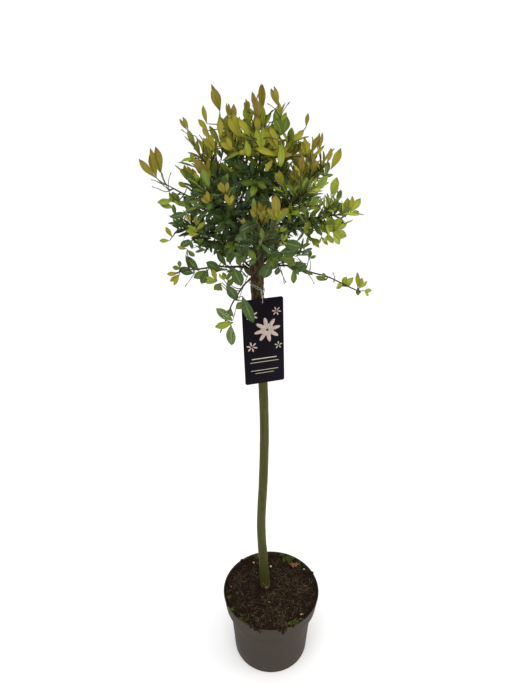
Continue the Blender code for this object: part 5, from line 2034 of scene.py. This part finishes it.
def tie_route(trunk):
    """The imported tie's route, closer together: up from the hole, twice round, back to the hole."""
    axis = point_at_height(trunk, TIE_HEIGHT)
    wide = TRUNK_STATIONS[-4][3] + TIE_RADIUS + TIE_CLEARANCE + TIE_SLACK
    over_edge = LABEL_HEIGHT / 2 + 3 * TIE_RADIUS
    reach = LABEL_THICKNESS / 2 + TIE_RADIUS + 2 * TIE_CLEARANCE
    points = [label_point(0.0, LABEL_HOLE_HEIGHT, -reach), label_point(0.0, over_edge, -reach)]
    for share in shares(36 * TIE_TURNS):
        angle = TIE_START + FULL_TURN * TIE_TURNS * share
        rise = TIE_PITCH * TIE_TURNS * share - TIE_TILT * math.cos(angle)
        points.append(axis + outward(angle) * wide + UP * rise)
    return points + [label_point(0.0, over_edge, reach), label_point(0.0, LABEL_HOLE_HEIGHT, reach)]


def twisted_strand(route, phase):
    """One strand that winds round a closed route."""
    spaced = []
    for start, end in zip(route, route[1:] + route[:1]):
        count = max(1, int((end - start).length / STRAND_STEP))
        spaced += [start.lerp(end, step / count) for step in range(count)]
    points, travelled = [], 0.0
    normal = UP.copy()
    for place, following in zip(spaced, spaced[1:] + spaced[:1]):
        ahead = (following - place).normalized()
        normal = (normal - ahead * normal.dot(ahead)).normalized()
        turn = phase + FULL_TURN * travelled / STRAND_PITCH
        points.append(place + (Matrix.Rotation(turn, 3, ahead) @ normal) * STRAND_OFFSET)
        travelled += (following - place).length
    return points, [STRAND_RADIUS] * len(points)


def make_tie(trunk):
    """Two thin strands twisted together, and the small knot where they meet above the label."""
    route = tie_route(trunk)
    strands = [twisted_strand(route, phase) for phase in (0.0, math.pi)]
    middle = label_point(0.0, LABEL_HEIGHT / 2 + 0.0040, 0.0022)
    knot = []
    for share in shares(48)[:-1]:
        angle = FULL_TURN * share
        swing = (2 + math.cos(3 * angle)) * KNOT_SIZE
        knot.append(middle + Vector((swing * math.cos(2 * angle), 0.0007 * math.sin(3 * angle),
                                     swing * math.sin(2 * angle) * 1.2)))
    tie = join("label_tie", tubes("strands", strands, cyclic=True),
               tubes("knot", [(knot, [KNOT_STRAND_RADIUS] * len(knot))], cyclic=True))
    settle(tie, "label_tie", tie_plastic(), "label_tie")


# -------------------- stage, light and camera


def make_stage():
    """A wide white floor, which fades into a white surround."""
    floor = add_primitive("floor", bpy.ops.mesh.primitive_plane_add, size=60)
    material = bpy.data.materials.new("white_floor")
    material.use_nodes = True
    looks = material.node_tree.nodes["Principled BSDF"].inputs
    looks["Base Color"].default_value = (0.97, 0.97, 0.97, 1)
    looks["Roughness"].default_value = 0.9
    looks["Specular IOR Level"].default_value = 0.1
    floor.data.materials.append(material)
    world = bpy.data.worlds.new("white_surround")
    bpy.context.scene.world = world
    world.use_nodes = True
    background = world.node_tree.nodes["Background"]
    background.inputs["Color"].default_value = (1, 1, 1, 1)
    background.inputs["Strength"].default_value = 1.05
    bpy.context.scene.view_settings.view_transform = "Standard"


LAMPS = (                   # name, place, what it is aimed at, size, power, tint
    ("overhead", (-0.30, -0.65, 2.10), (0, 0, 0.90), 0.9, 10, (1.0, 1.0, 1.0)),
    ("side", (1.3, -0.2, 0.9), (0, 0, 0.5), 0.9, 6, (1.0, 0.90, 0.82)),
)


def make_lights():
    for name, place, aim, size, power, tint in LAMPS:
        data = bpy.data.lights.new(name, "AREA")
        data.shape = "DISK"
        data.size = size
        data.energy = power
        data.color = tint
        light = link(name, data)
        light.location = place
        light.rotation_euler = (Vector(aim) - Vector(place)).to_track_quat("-Z", "Y").to_euler()


def make_camera():
    data = bpy.data.cameras.new("camera")
    data.lens = 28
    data.sensor_width = 36
    camera = link("camera", data)
    camera.location = (-0.0172, -0.7681, 1.0672)
    camera.rotation_euler = (math.radians(90 - 26.33), 0, 0)
    bpy.context.scene.camera = camera


# -------------------- the whole plant


make_pot()
peat = compost()
ground = Ground(make_soil(peat))
make_litter(ground, peat)
trunk = trunk_rows()
make_trunk(trunk)
make_root_nubs(ground, trunk)
lines = lay_out_shoots(trunk)
make_limbs(lines, twig_bark("bough_bark", (0.050, 0.044, 0.013), (0.042, 0.022, 0.011), 0.75))
make_foliage(lines, trunk, leaf_finishes())
make_label()
make_print()
make_tie(trunk)
make_stage()
make_lights()
make_camera()
